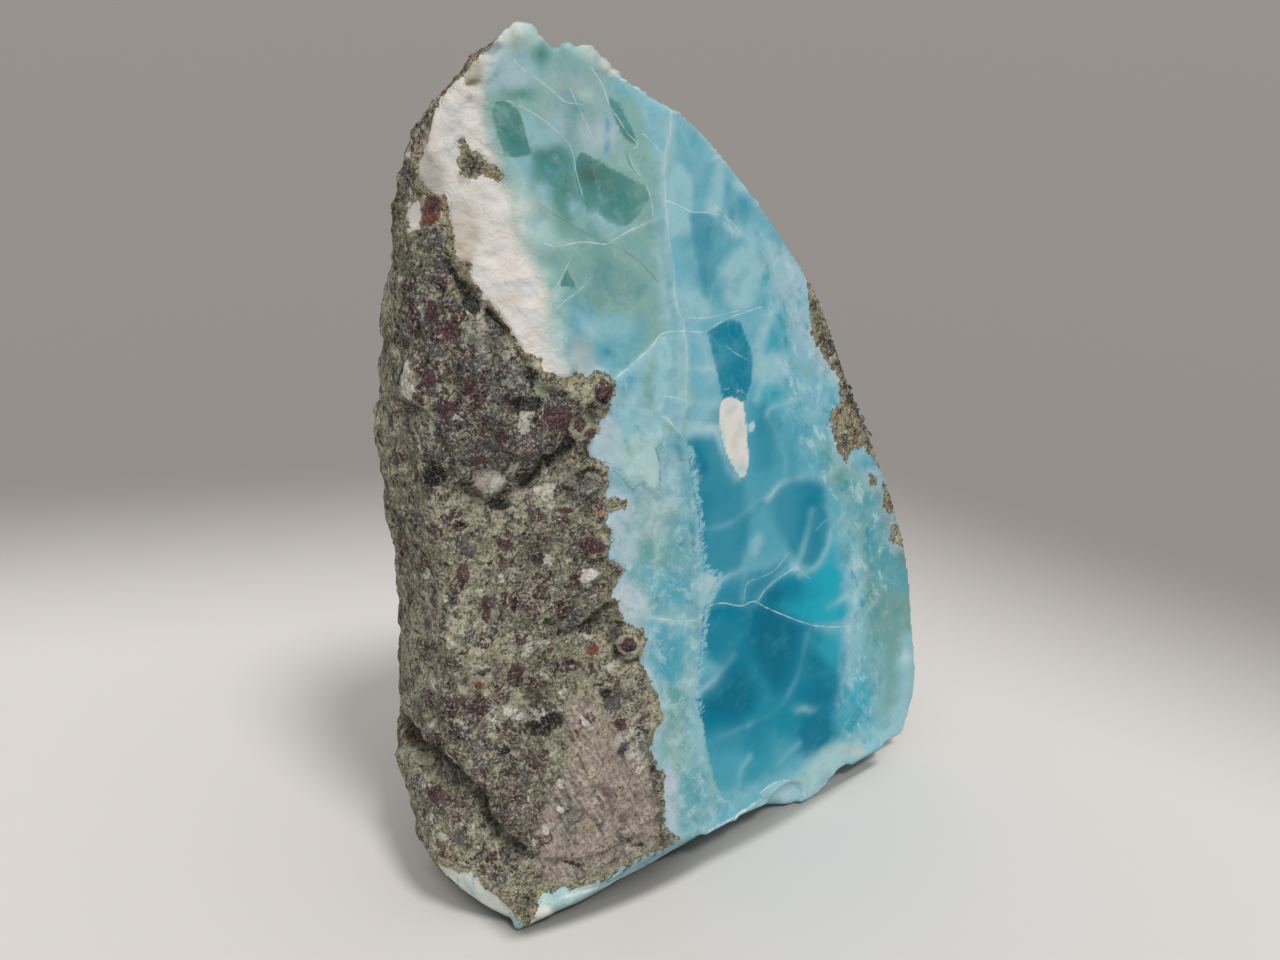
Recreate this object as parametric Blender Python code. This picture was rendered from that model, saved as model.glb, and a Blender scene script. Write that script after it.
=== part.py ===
"""A rough larimar: a standing wedge of blue pectolite vein with its basalt wall rock still on,
sawn and polished on one side. It is one natural piece, so it is one solid.

Frame: metres, +Z up. The polished side faces -Y, the stone stands on z = 0, and the middle of
its bounding box is at x = 0, y = 0. The sizes below are millimetres before that centring: the
polished side is the plane y = 0, and x = 0 is where the ridge beside it reaches the ground.
"""

import bmesh
import bpy
import numpy as np
from mathutils import Vector, noise

MM = 0.001
NODE = "larimar_stone"
STONE_COLOUR = (0.16, 0.33, 0.34, 1.0)
STONE_ROUGHNESS = 0.6

# Lengthwise edges of the stone, anticlockwise seen from above, each climbing from the broken
# bottom edge to the crest. "sharp" edges are creases, and the others are rounded over.
EDGES = {
    "ridge": ("sharp", (
        (-0.1, 0, 5.3), (-0.5, 0, 16), (-1.2, 0, 40), (-2.6, 0, 54), (-5, 0, 64), (-5.3, 0, 76),
        (-7.6, 0, 88), (-7.6, 0, 95), (-7.2, 0.1, 100.2))),
    "rim": ("sharp", (
        (39.8, 0, 2.6), (41.4, 0, 8), (39.6, 0, 22), (36.6, 0, 34.5), (31, 0, 47), (22.9, 0, 61.7),
        (16.4, 0, 75), (9.3, 0, 84.2), (2.8, 0, 91.1), (-3.2, 0, 97.2), (-6.2, 0.1, 99.7))),
    "flank": ("round", (
        (40, 8, 3), (42, 9, 12), (40, 9, 26), (35.5, 7, 40), (29, 4, 53), (21, 3, 66), (14.5, 3, 77),
        (6.5, 3, 87), (-1, 2.4, 95), (-6.2, 1.2, 99.5))),
    "back_right": ("round", (
        (31, 26, 4), (33, 28, 14), (32, 28.5, 26), (28, 27, 40), (24, 23, 53), (19.5, 18, 66),
        (13, 14, 77), (5, 10.5, 87), (-3, 7, 94.5), (-9, 3, 100.2))),
    "back": ("round", (
        (5, 35, 4), (6, 39, 14), (6, 40, 26), (4, 38.5, 40), (2, 35, 53), (0, 31, 66), (-3, 26, 77),
        (-6, 20, 87), (-10, 13, 95), (-14, 5, 103))),
    "back_left": ("round", (
        (-15, 33, 5), (-17, 37, 14), (-15.5, 38.5, 26), (-14, 37.5, 40), (-14, 35.5, 53), (-15, 32.5, 66),
        (-16, 28.5, 77), (-16.5, 24.5, 87), (-17.5, 18, 96), (-19.5, 8, 105.6))),
    "corner": ("round", (
        (-27, 24, 7), (-29.6, 26, 14), (-27.6, 28, 24), (-25.6, 30, 37), (-26.4, 30, 52), (-27, 28.5, 66),
        (-27.2, 26, 78), (-26, 23.5, 87), (-27.2, 18.5, 95.5), (-28, 13, 101), (-25.4, 8.4, 106.4))),
    "nose": ("round", (
        (-28.6, 14.2, 4), (-31.4, 13.5, 12), (-30.6, 12.5, 25), (-30.2, 12, 38), (-30.8, 12, 52),
        (-31.2, 12.5, 66), (-30.8, 12.5, 78), (-30, 13, 88), (-29.2, 10.6, 97), (-27.8, 8.4, 102.6),
        (-25.6, 6.4, 107))),
    "cheek": ("round", (
        (-25.6, 5.8, 1.5), (-25.8, 6.2, 11), (-24, 7.2, 24), (-22.6, 7.6, 38), (-22.6, 7.8, 52),
        (-23.6, 8, 66), (-24.4, 7.8, 78), (-24, 7.6, 88), (-23.4, 6.4, 98), (-22.2, 4.6, 108.8))),
    "seam": ("sharp", (
        (-8.6, 2.4, 4.2), (-10.6, 2.8, 12), (-12.2, 3.2, 24), (-13, 3.6, 38), (-14, 4, 52),
        (-15, 4.2, 66), (-16.4, 4.1, 78), (-17, 3.8, 88), (-16.6, 3.2, 97), (-15.6, 2.5, 105.6))),
}
# The polished side's broken lower edge from the ridge to the rim, as (x, z): it dips to the
# ground at one toe and is chipped out beside it.
BRINK = ((-0.1, 5.3), (6, 4.7), (10.5, 4), (13.4, 3.5), (16.2, 1.3), (18.6, 0.4), (22, 0.4), (24, 1.8),
         (26.4, 3.1), (32.7, 2.5), (36.5, 3), (39.8, 2.6))
# What the stone stands on: one foot of each edge, as (x, y).
FOOT = {
    "ridge": (2, 5.1), "rim": (35, 5.5), "flank": (36, 10), "back_right": (27, 24), "back": (4, 31.5),
    "back_left": (-13.5, 30), "corner": (-24.8, 22.5), "nose": (-26.3, 15), "cheek": (-25, 6.2),
    "seam": (-9, 4.8),
}
# The foot line under the polished side, from the ridge to the rim, as (x, y).
FOOT_LINE = ((2, 5.1), (7, 4.7), (11.3, 4.1), (14.6, 3.6), (17, 1.2), (18.8, 0.5), (21.8, 0.5),
             (24, 2.6), (26.5, 5.6), (30.5, 5), (33, 5.8), (35, 5.5))
# How many faces lie between one edge and the next, in the order above, how many rows climb from
# the broken edge to the crest, and how many from the foot to the broken edge.
FACES_BETWEEN = (22, 4, 10, 11, 8, 7, 9, 7, 7, 6)
ROWS = 54
FOOT_ROWS = 2
# How much of the broken edge's wander the first rows above it still follow.
BRINK_EASE = (0.5, 0.2)

# Rough broken rock: how far the surface wanders, and over what length, from coarse to fine, and
# where each layer of that wander starts in the noise.
ROUGHNESS = ((1.5, 21.0), (0.9, 9.0), (0.45, 4.4))
LAYER_START = 7.3
# How far the foot's outline wanders in its own plane, over what length, and the most of the
# roughness share that it takes.
FOOT_WANDER = (2.6, 6.5)
FOOT_SHARE = 0.7
# Rough rock stays this far behind the polished plane and this far above the ground.
BEHIND_POLISH = 0.05
ABOVE_GROUND = 0.3
# Share of that roughness on each edge's own line.
ROUGH_SHARE = {
    "ridge": 0, "rim": 0, "flank": 0.75, "back_right": 1, "back": 1, "back_left": 1, "corner": 0.7,
    "nose": 0.65, "cheek": 0.75, "seam": 0.22,
}

# Flat breaks where the hammer has taken the rock off: a point on each, and the way that it faces.
BREAKS = (
    ((14, 37, 20), (0.34, 1, -0.06)),
    ((-12, 36.4, 34), (-0.42, 1, 0.08)),
    ((9, 31.5, 60), (0.42, 0.9, 0.36)),
    ((-15, 29, 79), (-0.3, 0.9, 0.42)),
    ((36.5, 18, 22), (1, 0.36, 0.02)),
    ((24, 17, 55), (0.95, 0.5, 0.5)),
    ((2, 17.5, 88), (0.75, 0.8, 0.6)),
)
# Share of what stands proud of a break that it takes off.
BREAK_SHARE = 0.8

# Forms of the basalt and of the vein's broken parts: (x, y, z), reach and height outwards.
LUMPS = (
    # the bulge low on the left, and its brow
    ((-31, 15, 9), 10, 2.2),
    ((-29, 9, 6), 6, 1.2),
    # the dark block high on the basalt, which stands proud of what lies under it
    ((-27, 10, 72), 12, 1.3),
    ((-20, 7, 67), 7, 1.1),
    # knobs along the seam
    ((-14, 3.6, 70.4), 3.2, 1.2),
    ((-10.5, 2.8, 36), 3.4, 0.8),
    # worn hollows and swellings in the basalt
    ((-22, 7.5, 49), 9, -0.9),
    ((-17, 5.5, 20), 8, 0.9),
    ((-24, 8, 30), 7, -0.8),
    ((-28.7, 11.7, 90), 4, -0.7),
    # the nick in the crest and the crumbled hump beside it
    ((-18.5, 3.4, 107), 2.2, -1.0),
    ((-15.2, 3.2, 106.2), 3.4, 1.5),
    # hollows and swellings on the back and the far side
    ((18, 31, 52), 15, -1.6),
    ((-8, 36, 62), 13, 1.6),
    ((16, 37, 26), 12, 1.5),
    ((34, 18, 32), 11, -1.5),
    ((-24, 33, 50), 9, -1.4),
    ((-6, 28, 84), 10, -1.3),
)
# Grooves and breaks: the points that they run through, half width and depth.
GROOVES = (
    # the dark groove over the low bulge
    (((-31.6, 23, 22), (-31, 18, 19.6), (-31, 14, 18.2), (-29, 10.5, 15.6), (-27, 8.1, 12)), 2.3, 1.8),
    # the ledge under the dark block
    (((-26.5, 9.3, 58.4), (-24.2, 8.6, 60), (-21, 7.3, 60.8), (-17.5, 6, 62.8)), 2, 1.3),
    # cracks across the back
    (((-14, 38, 30), (0, 39, 37), (14, 36, 36), (29, 27, 45)), 2.3, 1.8),
    (((-22, 32, 62), (-8, 34, 56), (8, 32, 60)), 2, 1.5),
)
# The shell-shaped chip out of the polished side's lower edge, cut by a long ball: centre, half
# lengths, and how finely the ball is divided.
CHIP_CENTRE = (14.8, -3.6, 2.2)
CHIP_REACH = (6.6, 4.8, 5.6)
CHIP_FINENESS = 3

# Corners nearer than this become one, edges shorter than this go, and faces flatter than the
# limit, in radians, become one face.
MERGE = 0.3
SHORTEST = 0.03
FLAT_LIMIT = 0.0005
ON_PLANE = 0.001
# Shading breaks where the surface turns by more than this, in degrees.
CREASE = 38


def curve_through(knots, values, at, tangents=None):
    """Cubic curve through the values at the knots, read at the places asked for."""
    knots = np.asarray(knots, float)
    values = np.asarray(values, float)
    if tangents is None:
        tangents = np.gradient(values, knots, axis=0)
    at = np.clip(at, knots[0], knots[-1])
    k = np.clip(np.searchsorted(knots, at, side="right") - 1, 0, len(knots) - 2)
    span = knots[k + 1] - knots[k]
    u = ((at - knots[k]) / span)[:, None]
    h00 = 2 * u**3 - 3 * u**2 + 1
    h10 = u**3 - 2 * u**2 + u
    h01 = -2 * u**3 + 3 * u**2
    h11 = u**3 - u**2
    span = span[:, None]
    return h00 * values[k] + h10 * span * tangents[k] + h01 * values[k + 1] + h11 * span * tangents[k + 1]


def climb(points, shares):
    """Points up one edge of the stone at the given shares of its height."""
    points = np.array(points, float)
    height = points[:, 2]
    at = height[0] + shares * (height[-1] - height[0])
    return np.column_stack([curve_through(height, points[:, :2], at), at])


def along(line, shares):
    """Points on an open line at the given shares of its length."""
    line = np.array(line, float)
    reach = np.concatenate([[0], np.cumsum(np.linalg.norm(np.diff(line, axis=0), axis=1))])
    return np.column_stack([np.interp(shares * reach[-1], reach, column) for column in line.T])


def ring_round(corners, sharp):
    """One closed ring through the corners, straight at sharp ones and rounded at the others."""
    count = len(corners)
    ahead = np.roll(corners, -1, axis=0) - corners
    length = np.linalg.norm(ahead, axis=1)
    through = np.roll(corners, -1, axis=0) - np.roll(corners, 1, axis=0)
    through /= (length + np.roll(length, 1))[:, None]
    ring = []
    for k in range(count):
        after = (k + 1) % count
        leave = ahead[k] / length[k] if sharp[k] else through[k]
        arrive = ahead[k] / length[k] if sharp[after] else through[after]
        places = np.arange(FACES_BETWEEN[k]) / FACES_BETWEEN[k] * length[k]
        ends = np.array([corners[k], corners[after]])
        ring.append(curve_through((0, length[k]), ends, places, np.array([leave, arrive])))
    return np.concatenate(ring)


def stone_rings():
    """The rings of points from the foot to the crest, before the surface is roughened."""
    names = list(EDGES)
    sharp = [EDGES[name][0] == "sharp" for name in names]
    shares = np.linspace(0, 1, ROWS)
    rails = np.array([climb(EDGES[name][1], shares) for name in names])
    rings = [ring_round(rails[:, row], sharp) for row in range(ROWS)]
    steps = np.arange(FACES_BETWEEN[0]) / FACES_BETWEEN[0]
    brink = along(BRINK, steps)
    rings[0][: FACES_BETWEEN[0]] = np.column_stack([brink[:, 0], 0 * steps, brink[:, 1]])
    for row, hold in enumerate(BRINK_EASE, start=1):
        rings[row][: FACES_BETWEEN[0], 2] += hold * (brink[:, 1] - rails[0, 0, 2])
    foot_corners = np.array([(*FOOT[name], 0.0) for name in names])
    foot = ring_round(foot_corners, sharp)
    foot[: FACES_BETWEEN[0], :2] = along(FOOT_LINE, steps)
    low = [foot + (rings[0] - foot) * k / FOOT_ROWS for k in range(FOOT_ROWS)]
    return np.array(low + rings)


def rough_shares():
    """How rough each column of the rings is."""
    shares = [ROUGH_SHARE[name] for name in EDGES]
    column = []
    for k, faces in enumerate(FACES_BETWEEN):
        after = shares[(k + 1) % len(shares)]
        column.extend(shares[k] + (after - shares[k]) * np.arange(faces) / faces)
    return column


def distance_to_line(point, line):
    """Shortest distance from a point to a run of straight pieces."""
    found = []
    for start, end in zip(line, line[1:]):
        a = Vector(start)
        run = Vector(end) - a
        share = min(1, max(0, (point - a).dot(run) / run.length_squared))
        found.append((point - a - run * share).length)
    return min(found)


def bump(distance, reach):
    """1 at the middle, falling smoothly to 0 at the reach."""
    return max(0, 1 - (distance / reach) ** 2) ** 2


def outward_move(point, rough):
    """How far one point of the surface moves out, in millimetres."""
    move = 0
    for layer, (depth, length) in enumerate(ROUGHNESS):
        move += depth * rough * noise.noise(point / length + Vector((LAYER_START * layer, 0, 0)))
    for centre, reach, height in LUMPS:
        move += height * bump((point - Vector(centre)).length, reach)
    for line, half_width, depth in GROOVES:
        move -= depth * bump(distance_to_line(point, line), 2 * half_width)
    return move


def build_stone():
    """The stone's mesh, closed and facing out, in millimetres."""
    rings = stone_rings()
    rough = rough_shares()
    mesh = bmesh.new()
    rows = [[mesh.verts.new(point) for point in ring] for ring in rings]
    columns = len(rows[0])
    for low, high in zip(rows, rows[1:]):
        for k in range(columns):
            after = (k + 1) % columns
            mesh.faces.new((low[k], low[after], high[after], high[k]))
    mesh.faces.new(rows[0][::-1])
    mesh.faces.new(rows[-1])
    mesh.normal_update()
    roughen(mesh, rows, rough)
    tidy(mesh)
    return mesh


def roughen(mesh, rows, rough):
    """Moves the broken and worn surfaces in and out. The polished side and the foot stay flat."""
    polished = FACES_BETWEEN[0]
    moves = {}
    for row in rows[1:]:
        for k, vert in enumerate(row):
            on_polish = k <= polished and row is not rows[1]
            if not on_polish:
                moves[vert] = vert.normal * outward_move(vert.co, rough[k])
    depth, length = FOOT_WANDER
    for k, vert in enumerate(rows[0]):
        outwards = rows[FOOT_ROWS][k].co - vert.co
        outwards.z = 0
        wander = depth * min(rough[k], FOOT_SHARE) * noise.noise(vert.co / length)
        moves[vert] = outwards.normalized() * wander
    for vert, move in moves.items():
        vert.co += move
        if vert not in rows[0]:
            break_flat(vert)
            vert.co.y = max(vert.co.y, BEHIND_POLISH)
            vert.co.z = max(vert.co.z, ABOVE_GROUND)


def break_flat(vert):
    """Takes most of what stands proud of each break off one corner."""
    for point, facing in BREAKS:
        out = Vector(facing).normalized()
        proud = (vert.co - Vector(point)).dot(out)
        if proud > 0:
            vert.co -= out * proud * BREAK_SHARE


def tidy(mesh):
    """Merges what nearly meets, and makes one face each of the polished side and the foot."""
    bmesh.ops.remove_doubles(mesh, verts=mesh.verts, dist=MERGE)
    bmesh.ops.dissolve_degenerate(mesh, edges=mesh.edges, dist=SHORTEST)
    flat = [face for face in mesh.faces if is_flat(face)]
    edges = {edge for face in flat for edge in face.edges}
    verts = {vert for face in flat for vert in face.verts}
    inner = [edge for edge in edges if all(is_flat(face) for face in edge.link_faces)]
    bmesh.ops.dissolve_limit(mesh, angle_limit=FLAT_LIMIT, verts=list(verts), edges=inner)
    bmesh.ops.triangulate(mesh, faces=[face for face in mesh.faces if len(face.verts) > 4])
    bmesh.ops.recalc_face_normals(mesh, faces=mesh.faces)


def is_flat(face):
    """Whether a face lies in the polished side or in the foot."""
    polished = all(abs(vert.co.y) < ON_PLANE for vert in face.verts)
    return polished or all(vert.co.z < ON_PLANE for vert in face.verts)


def stone_material():
    """The vein's blue, dulled by the basalt round it."""
    material = bpy.data.materials.new("stone")
    material.use_nodes = True
    shader = material.node_tree.nodes["Principled BSDF"]
    shader.inputs["Base Color"].default_value = STONE_COLOUR
    shader.inputs["Roughness"].default_value = STONE_ROUGHNESS
    shader.inputs["Metallic"].default_value = 0.0
    return material


def placed(mesh, name, centre):
    """An object in the scene, in metres, from a mesh in millimetres."""
    for vert in mesh.verts:
        vert.co = (vert.co - centre) * MM
    data = bpy.data.meshes.new(name)
    mesh.to_mesh(data)
    mesh.free()
    thing = bpy.data.objects.new(name, data)
    bpy.context.scene.collection.objects.link(thing)
    return thing


def middle_of(mesh):
    """The middle of the mesh's box, on the ground."""
    low = [min(vert.co[axis] for vert in mesh.verts) for axis in range(2)]
    high = [max(vert.co[axis] for vert in mesh.verts) for axis in range(2)]
    return Vector(((low[0] + high[0]) / 2, (low[1] + high[1]) / 2, 0))


def chip_cutter(centre):
    """The ball that cuts the chip out of the polished side's lower edge."""
    ball = bmesh.new()
    bmesh.ops.create_icosphere(ball, subdivisions=CHIP_FINENESS, radius=1)
    bmesh.ops.scale(ball, verts=ball.verts, vec=CHIP_REACH)
    bmesh.ops.translate(ball, verts=ball.verts, vec=CHIP_CENTRE)
    cutter = placed(ball, "chip_cutter", centre)
    cutter.hide_render = True
    cutter.display_type = "WIRE"
    return cutter


def main():
    """Clears the scene and models the stone."""
    for old in list(bpy.data.objects):
        bpy.data.objects.remove(old, do_unlink=True)
    mesh = build_stone()
    centre = middle_of(mesh)
    stone = placed(mesh, NODE, centre)
    stone.data.materials.append(stone_material())
    chip = stone.modifiers.new("chip", "BOOLEAN")
    chip.operation = "DIFFERENCE"
    chip.object = chip_cutter(centre)
    stone.data.shade_smooth()
    stone.data.set_sharp_from_angle(angle=np.radians(CREASE))


main()
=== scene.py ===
"""Looks of the rough larimar: a blue vein polished on two sides, in the basalt that it grew in."""

import itertools
import math

import bmesh
import bpy
import numpy as np
from bpy.props import FloatProperty, FloatVectorProperty, PointerProperty
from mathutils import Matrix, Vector
from mathutils.bvhtree import BVHTree


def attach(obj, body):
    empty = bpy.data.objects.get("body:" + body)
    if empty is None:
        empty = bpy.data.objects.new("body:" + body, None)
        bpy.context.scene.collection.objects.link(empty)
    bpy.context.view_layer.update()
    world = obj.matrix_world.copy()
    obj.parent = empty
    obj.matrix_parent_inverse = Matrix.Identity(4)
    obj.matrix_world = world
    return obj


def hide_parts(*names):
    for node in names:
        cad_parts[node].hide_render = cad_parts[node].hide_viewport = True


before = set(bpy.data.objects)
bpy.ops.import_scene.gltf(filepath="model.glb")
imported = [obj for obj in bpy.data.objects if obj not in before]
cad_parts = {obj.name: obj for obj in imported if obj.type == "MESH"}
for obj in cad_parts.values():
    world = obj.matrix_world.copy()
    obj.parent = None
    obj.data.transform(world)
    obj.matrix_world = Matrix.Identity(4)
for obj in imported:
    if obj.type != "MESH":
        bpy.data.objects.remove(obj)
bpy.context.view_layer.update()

bl_info = {
    "name": "Rough larimar",
    "version": (1, 0, 0),
    "blender": (4, 5, 0),
    "location": "3D View > Sidebar > Larimar",
    "description": "Dresses the rough larimar: fine surface, blue vein, basalt and a plain stage",
    "category": "Object",
}

NODE = "larimar_stone"
MM = 0.001

# The view that the markings were laid out in: its size in pixels, and where its camera stands, in mm and
# degrees.
VIEW_WIDE, VIEW_HIGH = 1280, 960
CAMERA_PLACE = (-107.76, -130.28, 126.5)
CAMERA_TURN, CAMERA_RISE = -40.0, 25.0
LENS, SENSOR = 39.97, 36.0

POLISHED_Y = -20.378  # the big polished side is the plane at this y, in mm
POLISHED_HALF = 0.3  # corners nearer to that plane than this lie in it
# Three places of the second polished side, in mm.
FACET_POINTS = ((-4.261, -20.378, 70.0), (-23.8, -14.7, 71.0), (-22.8, -17.0, 106.6))

FAR = 60.0  # pixels; stands for a line or an edge that is nowhere near
HIDDEN_PIXELS = 8.0  # pixels that stand for a mm where the view doesn't reach

# The soft edge that the marks wander by, in pixels, and the shares of it that firmer marks take.
WANDER = 4.0
FIRM, FIRMEST = 0.35, 0.2

FACING = -0.04  # faces that look at the camera by more than this get the finer mesh
SIGHT_START = (1.4, 0.6)  # mm towards the camera and along the normal, where a line of sight starts
SPOT_FALL = 1.2  # how fast a soft spot fades away from its middle
PLACED_DEPTH = 1.6  # mm at the middle of a placed grain
PLACED_KIND = 0.15  # the value that makes a placed grain maroon
FIBRE_GRAIN = ((0.45, 0.0, 0.9), 1.9, 4.0)  # the fibres' direction, strands to a mm across, length in mm
FEWEST_TRIANGLES, MOST_TRIANGLES = 50_000, 200_000

FLOOR_RADIUS, FLOOR_SIDES = 6.0, 96
# The floor is painted with a pool of light: its pale part ends along two edges; each is given by the
# direction across it.
LIGHT_ENDS = ((0.524, 0.852, 0.0), (0.981, 0.193, 0.0))
LIGHT_SOFT, LIGHT_CORNER = 0.039, 0.03
LAMP_TINT, SKY_TINT, BEHIND_TINT = (1.0, 0.985, 0.97), (1.0, 0.985, 0.965, 1.0), (150, 146, 140)
LAMP_WAY = (-0.10, -1.0, 1.67)


def linear(red, green, blue):
    """A colour given from 0 to 255, as scene-linear."""
    shares = (red / 255, green / 255, blue / 255)
    return tuple(s / 12.92 if s <= 0.04045 else ((s + 0.055) / 1.055) ** 2.4 for s in shares)


def tone(name, description, red, green, blue):
    """A colour property."""
    return FloatVectorProperty(
        name=name,
        description=description,
        subtype="COLOR",
        size=3,
        min=0.0,
        max=1.0,
        default=linear(red, green, blue),
    )


def amount(name, description, default, low, high, **more):
    """A number property."""
    return FloatProperty(name=name, description=description, default=default, min=low, max=high, **more)


class LarimarTones(bpy.types.PropertyGroup):
    """Colours of the vein and of the basalt."""

    abyss: tone("Abyss", "Darkest middle of the blue pools", 0, 105, 134)
    deep: tone("Deep", "Deep blue pools", 0, 125, 154)
    pool: tone("Pool", "Blue pools", 34, 134, 160)
    teal: tone("Teal", "Greener pools", 28, 146, 168)
    sea: tone("Sea", "Middle blue", 66, 156, 178)
    azure: tone("Azure", "Light blue", 102, 175, 195)
    sky: tone("Sky", "Paler blue", 130, 187, 203)
    mist: tone("Mist", "Clouded blue", 156, 201, 212)
    pale: tone("Pale", "Nearly white blue", 190, 220, 227)
    cyan: tone("Cyan", "Brightest turquoise", 30, 168, 192)
    chalk: tone("Chalk", "White pectolite", 229, 225, 219)
    lavender: tone("Lavender", "Greyish white beside the basalt", 188, 202, 214)
    beige: tone("Beige", "Stained white", 198, 188, 176)
    jade_deep: tone("Deep jade", "Darkest green of the facet", 70, 128, 121)
    jade: tone("Jade", "Green patches of the facet", 92, 145, 137)
    jade_light: tone("Light jade", "Ground of the facet", 138, 180, 175)
    celadon: tone("Celadon", "Grey green", 134, 174, 168)
    frost: tone("Frost", "Pale green shell", 186, 212, 205)
    web: tone("Web", "White lines through the vein", 220, 236, 238)
    olive: tone("Olive", "Rind of the basalt and stained cracks", 184, 173, 136)
    sand: tone("Sand", "Light ground of the basalt", 204, 200, 172)
    moss: tone("Moss", "Dark ground of the basalt", 120, 119, 99)
    maroon: tone("Maroon", "Red brown grains", 92, 66, 68)
    slate: tone("Slate", "Grey part of the basalt", 104, 100, 104)
    taupe: tone("Taupe", "Fibrous grey pink part", 190, 172, 162)
    ash: tone("Ash", "Light chips in the basalt", 228, 225, 213)
    # This black tone paints real dark grains and also the painted shade in the basalt's hollows, pits, cracks
    # and shaded parts.
    soot: tone("Soot", "Nearly black grains", 34, 34, 32)
    rust: tone("Rust", "Iron stain", 140, 80, 60)
    lichen: tone("Lichen", "Pale green chips in the basalt", 178, 184, 162)
    bark: tone("Bark", "Brown stain along the vein", 88, 78, 56)
    salmon: tone("Salmon", "Small pink beads", 214, 168, 142)


class LarimarSizes(bpy.types.PropertyGroup):
    """Sizes of the stone's fine surface, in mm unless they are shares."""

    mesh_step: amount("Mesh step", "Step of the mesh at the back, in mm; the front has half", 0.74, 0.5, 2.0)
    basalt_relief: amount("Basalt relief", "Height of the basalt's lumps, in mm", 0.62, 0.0, 2.0)
    basalt_grit: amount("Basalt grit", "Height of the basalt's fine grains, in mm", 0.2, 0.0, 0.6)
    white_relief: amount("White relief", "Height of the lumps of the rough white part, in mm", 0.4, 0.0, 1.0)
    shell_step: amount("Shell step", "Thickness of the flaked shell beside the ridge, in mm", 0.35, 0.0, 0.8)
    grain_size: amount("Grain size", "Size of the basalt's large grains, in mm", 3.2, 1.0, 8.0)


class LarimarStage(bpy.types.PropertyGroup):
    """Floor and light."""

    # The floor's two tones paint a pool of light, pale where it falls and darker round it.
    floor: tone("Floor", "Floor where the light falls", 221, 218, 215)
    surround: tone("Surround", "Floor outside the pool of light", 146, 142, 138)
    # The tone of the shadow painted on the floor under the stone's lower edge.
    painted_edge_shadow: tone("Under the edge", "Floor under the overhang of the stone's lower edge", 74, 74, 68)
    light_edge: amount(
        "Light edge",
        "How far from the stone the pale part of the floor ends, to the back and to the right",
        0.0824,
        0.03,
        1.0,
        subtype="DISTANCE",
        unit="LENGTH",
    )
    key: amount("Key light", "Strength of the soft light from the front and above", 1.56, 0.0, 10.0)
    key_spread: amount(
        "Key spread",
        "How wide the key light is, which softens its shadow",
        math.radians(12),
        0.0,
        math.pi,
        subtype="ANGLE",
    )
    sky: amount("Ambient light", "Strength of the light from all round", 0.575, 0.0, 5.0)


# Random ground: every value comes from the place itself, so it is the same in each run.

TURNED = np.array(((0.36, 0.48, -0.80), (-0.80, 0.60, 0.0), (0.48, 0.64, 0.60)))


def scramble(x, y, z, seed):
    """A repeatable value from 0 to 1 for each whole-numbered place."""
    h = x * 73856093 ^ y * 19349663 ^ z * 83492791 ^ np.int64(seed * 40503)
    h = (h ^ (h >> 15)) & 0xFFFFFFFF
    h = (h * 668265263) & 0xFFFFFFFF
    h = ((h ^ (h >> 13)) * 374761393) & 0xFFFFFFFF
    return ((h ^ (h >> 16)) & 0xFFFFFF) / float(0xFFFFFF)


def hills(points, size, seed):
    """A smooth random height from -1 to 1 at each point, changing over about that many mm."""
    q = points / size + 4096.0
    base = np.floor(q).astype(np.int64)
    t = q - base
    t = t * t * (3 - 2 * t)
    total = np.zeros(len(points))
    for corner in itertools.product((0, 1), repeat=3):
        near = np.where(corner, t, 1 - t).prod(axis=1)
        total += near * scramble(*(base + corner).T, seed)
    return total * 2 - 1


def layered(points, size, octaves, seed, fade=0.5):
    """Hills with smaller hills on them, from about -1 to 1."""
    total, height, reach = np.zeros(len(points)), 1.0, 0.0
    for octave in range(octaves):
        total += height * hills(points, size / 2**octave, seed + octave)
        points = points @ TURNED
        reach += height
        height *= fade
    return total / reach


def grains(points, size, seed):
    """Depth inside the nearest grain in mm, negative between grains, and a random value of that grain."""
    q = points / size + 4096.0
    base = np.floor(q).astype(np.int64)
    depth, kind = np.full(len(points), -9.0), np.zeros(len(points))
    for step in itertools.product((-1, 0, 1), repeat=3):
        cell = base + step
        x, y, z = cell.T
        middle = np.stack([scramble(x, y, z, seed + k) for k in range(3)], axis=1)
        away = q - cell - middle
        lean = scramble(x, y, z, seed + 4)
        away[:, 2] *= 0.62 + 0.3 * lean
        width = 0.12 + 0.34 * scramble(x, y, z, seed + 5)
        value = width - np.linalg.norm(away, axis=1)
        nearer = value > depth
        depth = np.where(nearer, value, depth)
        kind = np.where(nearer, scramble(x, y, z, seed + 6), kind)
    return depth * size, kind


def smooth(low, high, value):
    """0 below low, 1 above high, and an even change between them."""
    t = np.clip((value - low) / (high - low), 0.0, 1.0)
    return t * t * (3 - 2 * t)


# Places in the view. The markings are laid out in its pixels, x to the right and y down, and a line or an
# outline is written as "x,y x,y" and so on.


def places_of(path):
    """The places of a line or an outline, one to a row."""
    if isinstance(path, str):
        path = [place.split(",") for place in path.split()]
    return np.array(path, float)


def view_axes():
    """The camera's back, right and up directions."""
    turn, rise = math.radians(CAMERA_TURN), math.radians(CAMERA_RISE)
    back = np.array((math.sin(turn) * math.cos(rise), -math.cos(turn) * math.cos(rise), math.sin(rise)))
    right = np.array((math.cos(turn), math.sin(turn), 0.0))
    return back, right, np.cross(back, right)


def in_view(points):
    """Pixel places of points in mm."""
    back, right, up = view_axes()
    away = points - np.array(CAMERA_PLACE)
    pixels = LENS / SENSOR * VIEW_WIDE / -(away @ back)
    return np.stack((VIEW_WIDE / 2 + (away @ right) * pixels, VIEW_HIGH / 2 - (away @ up) * pixels), axis=1)


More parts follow.
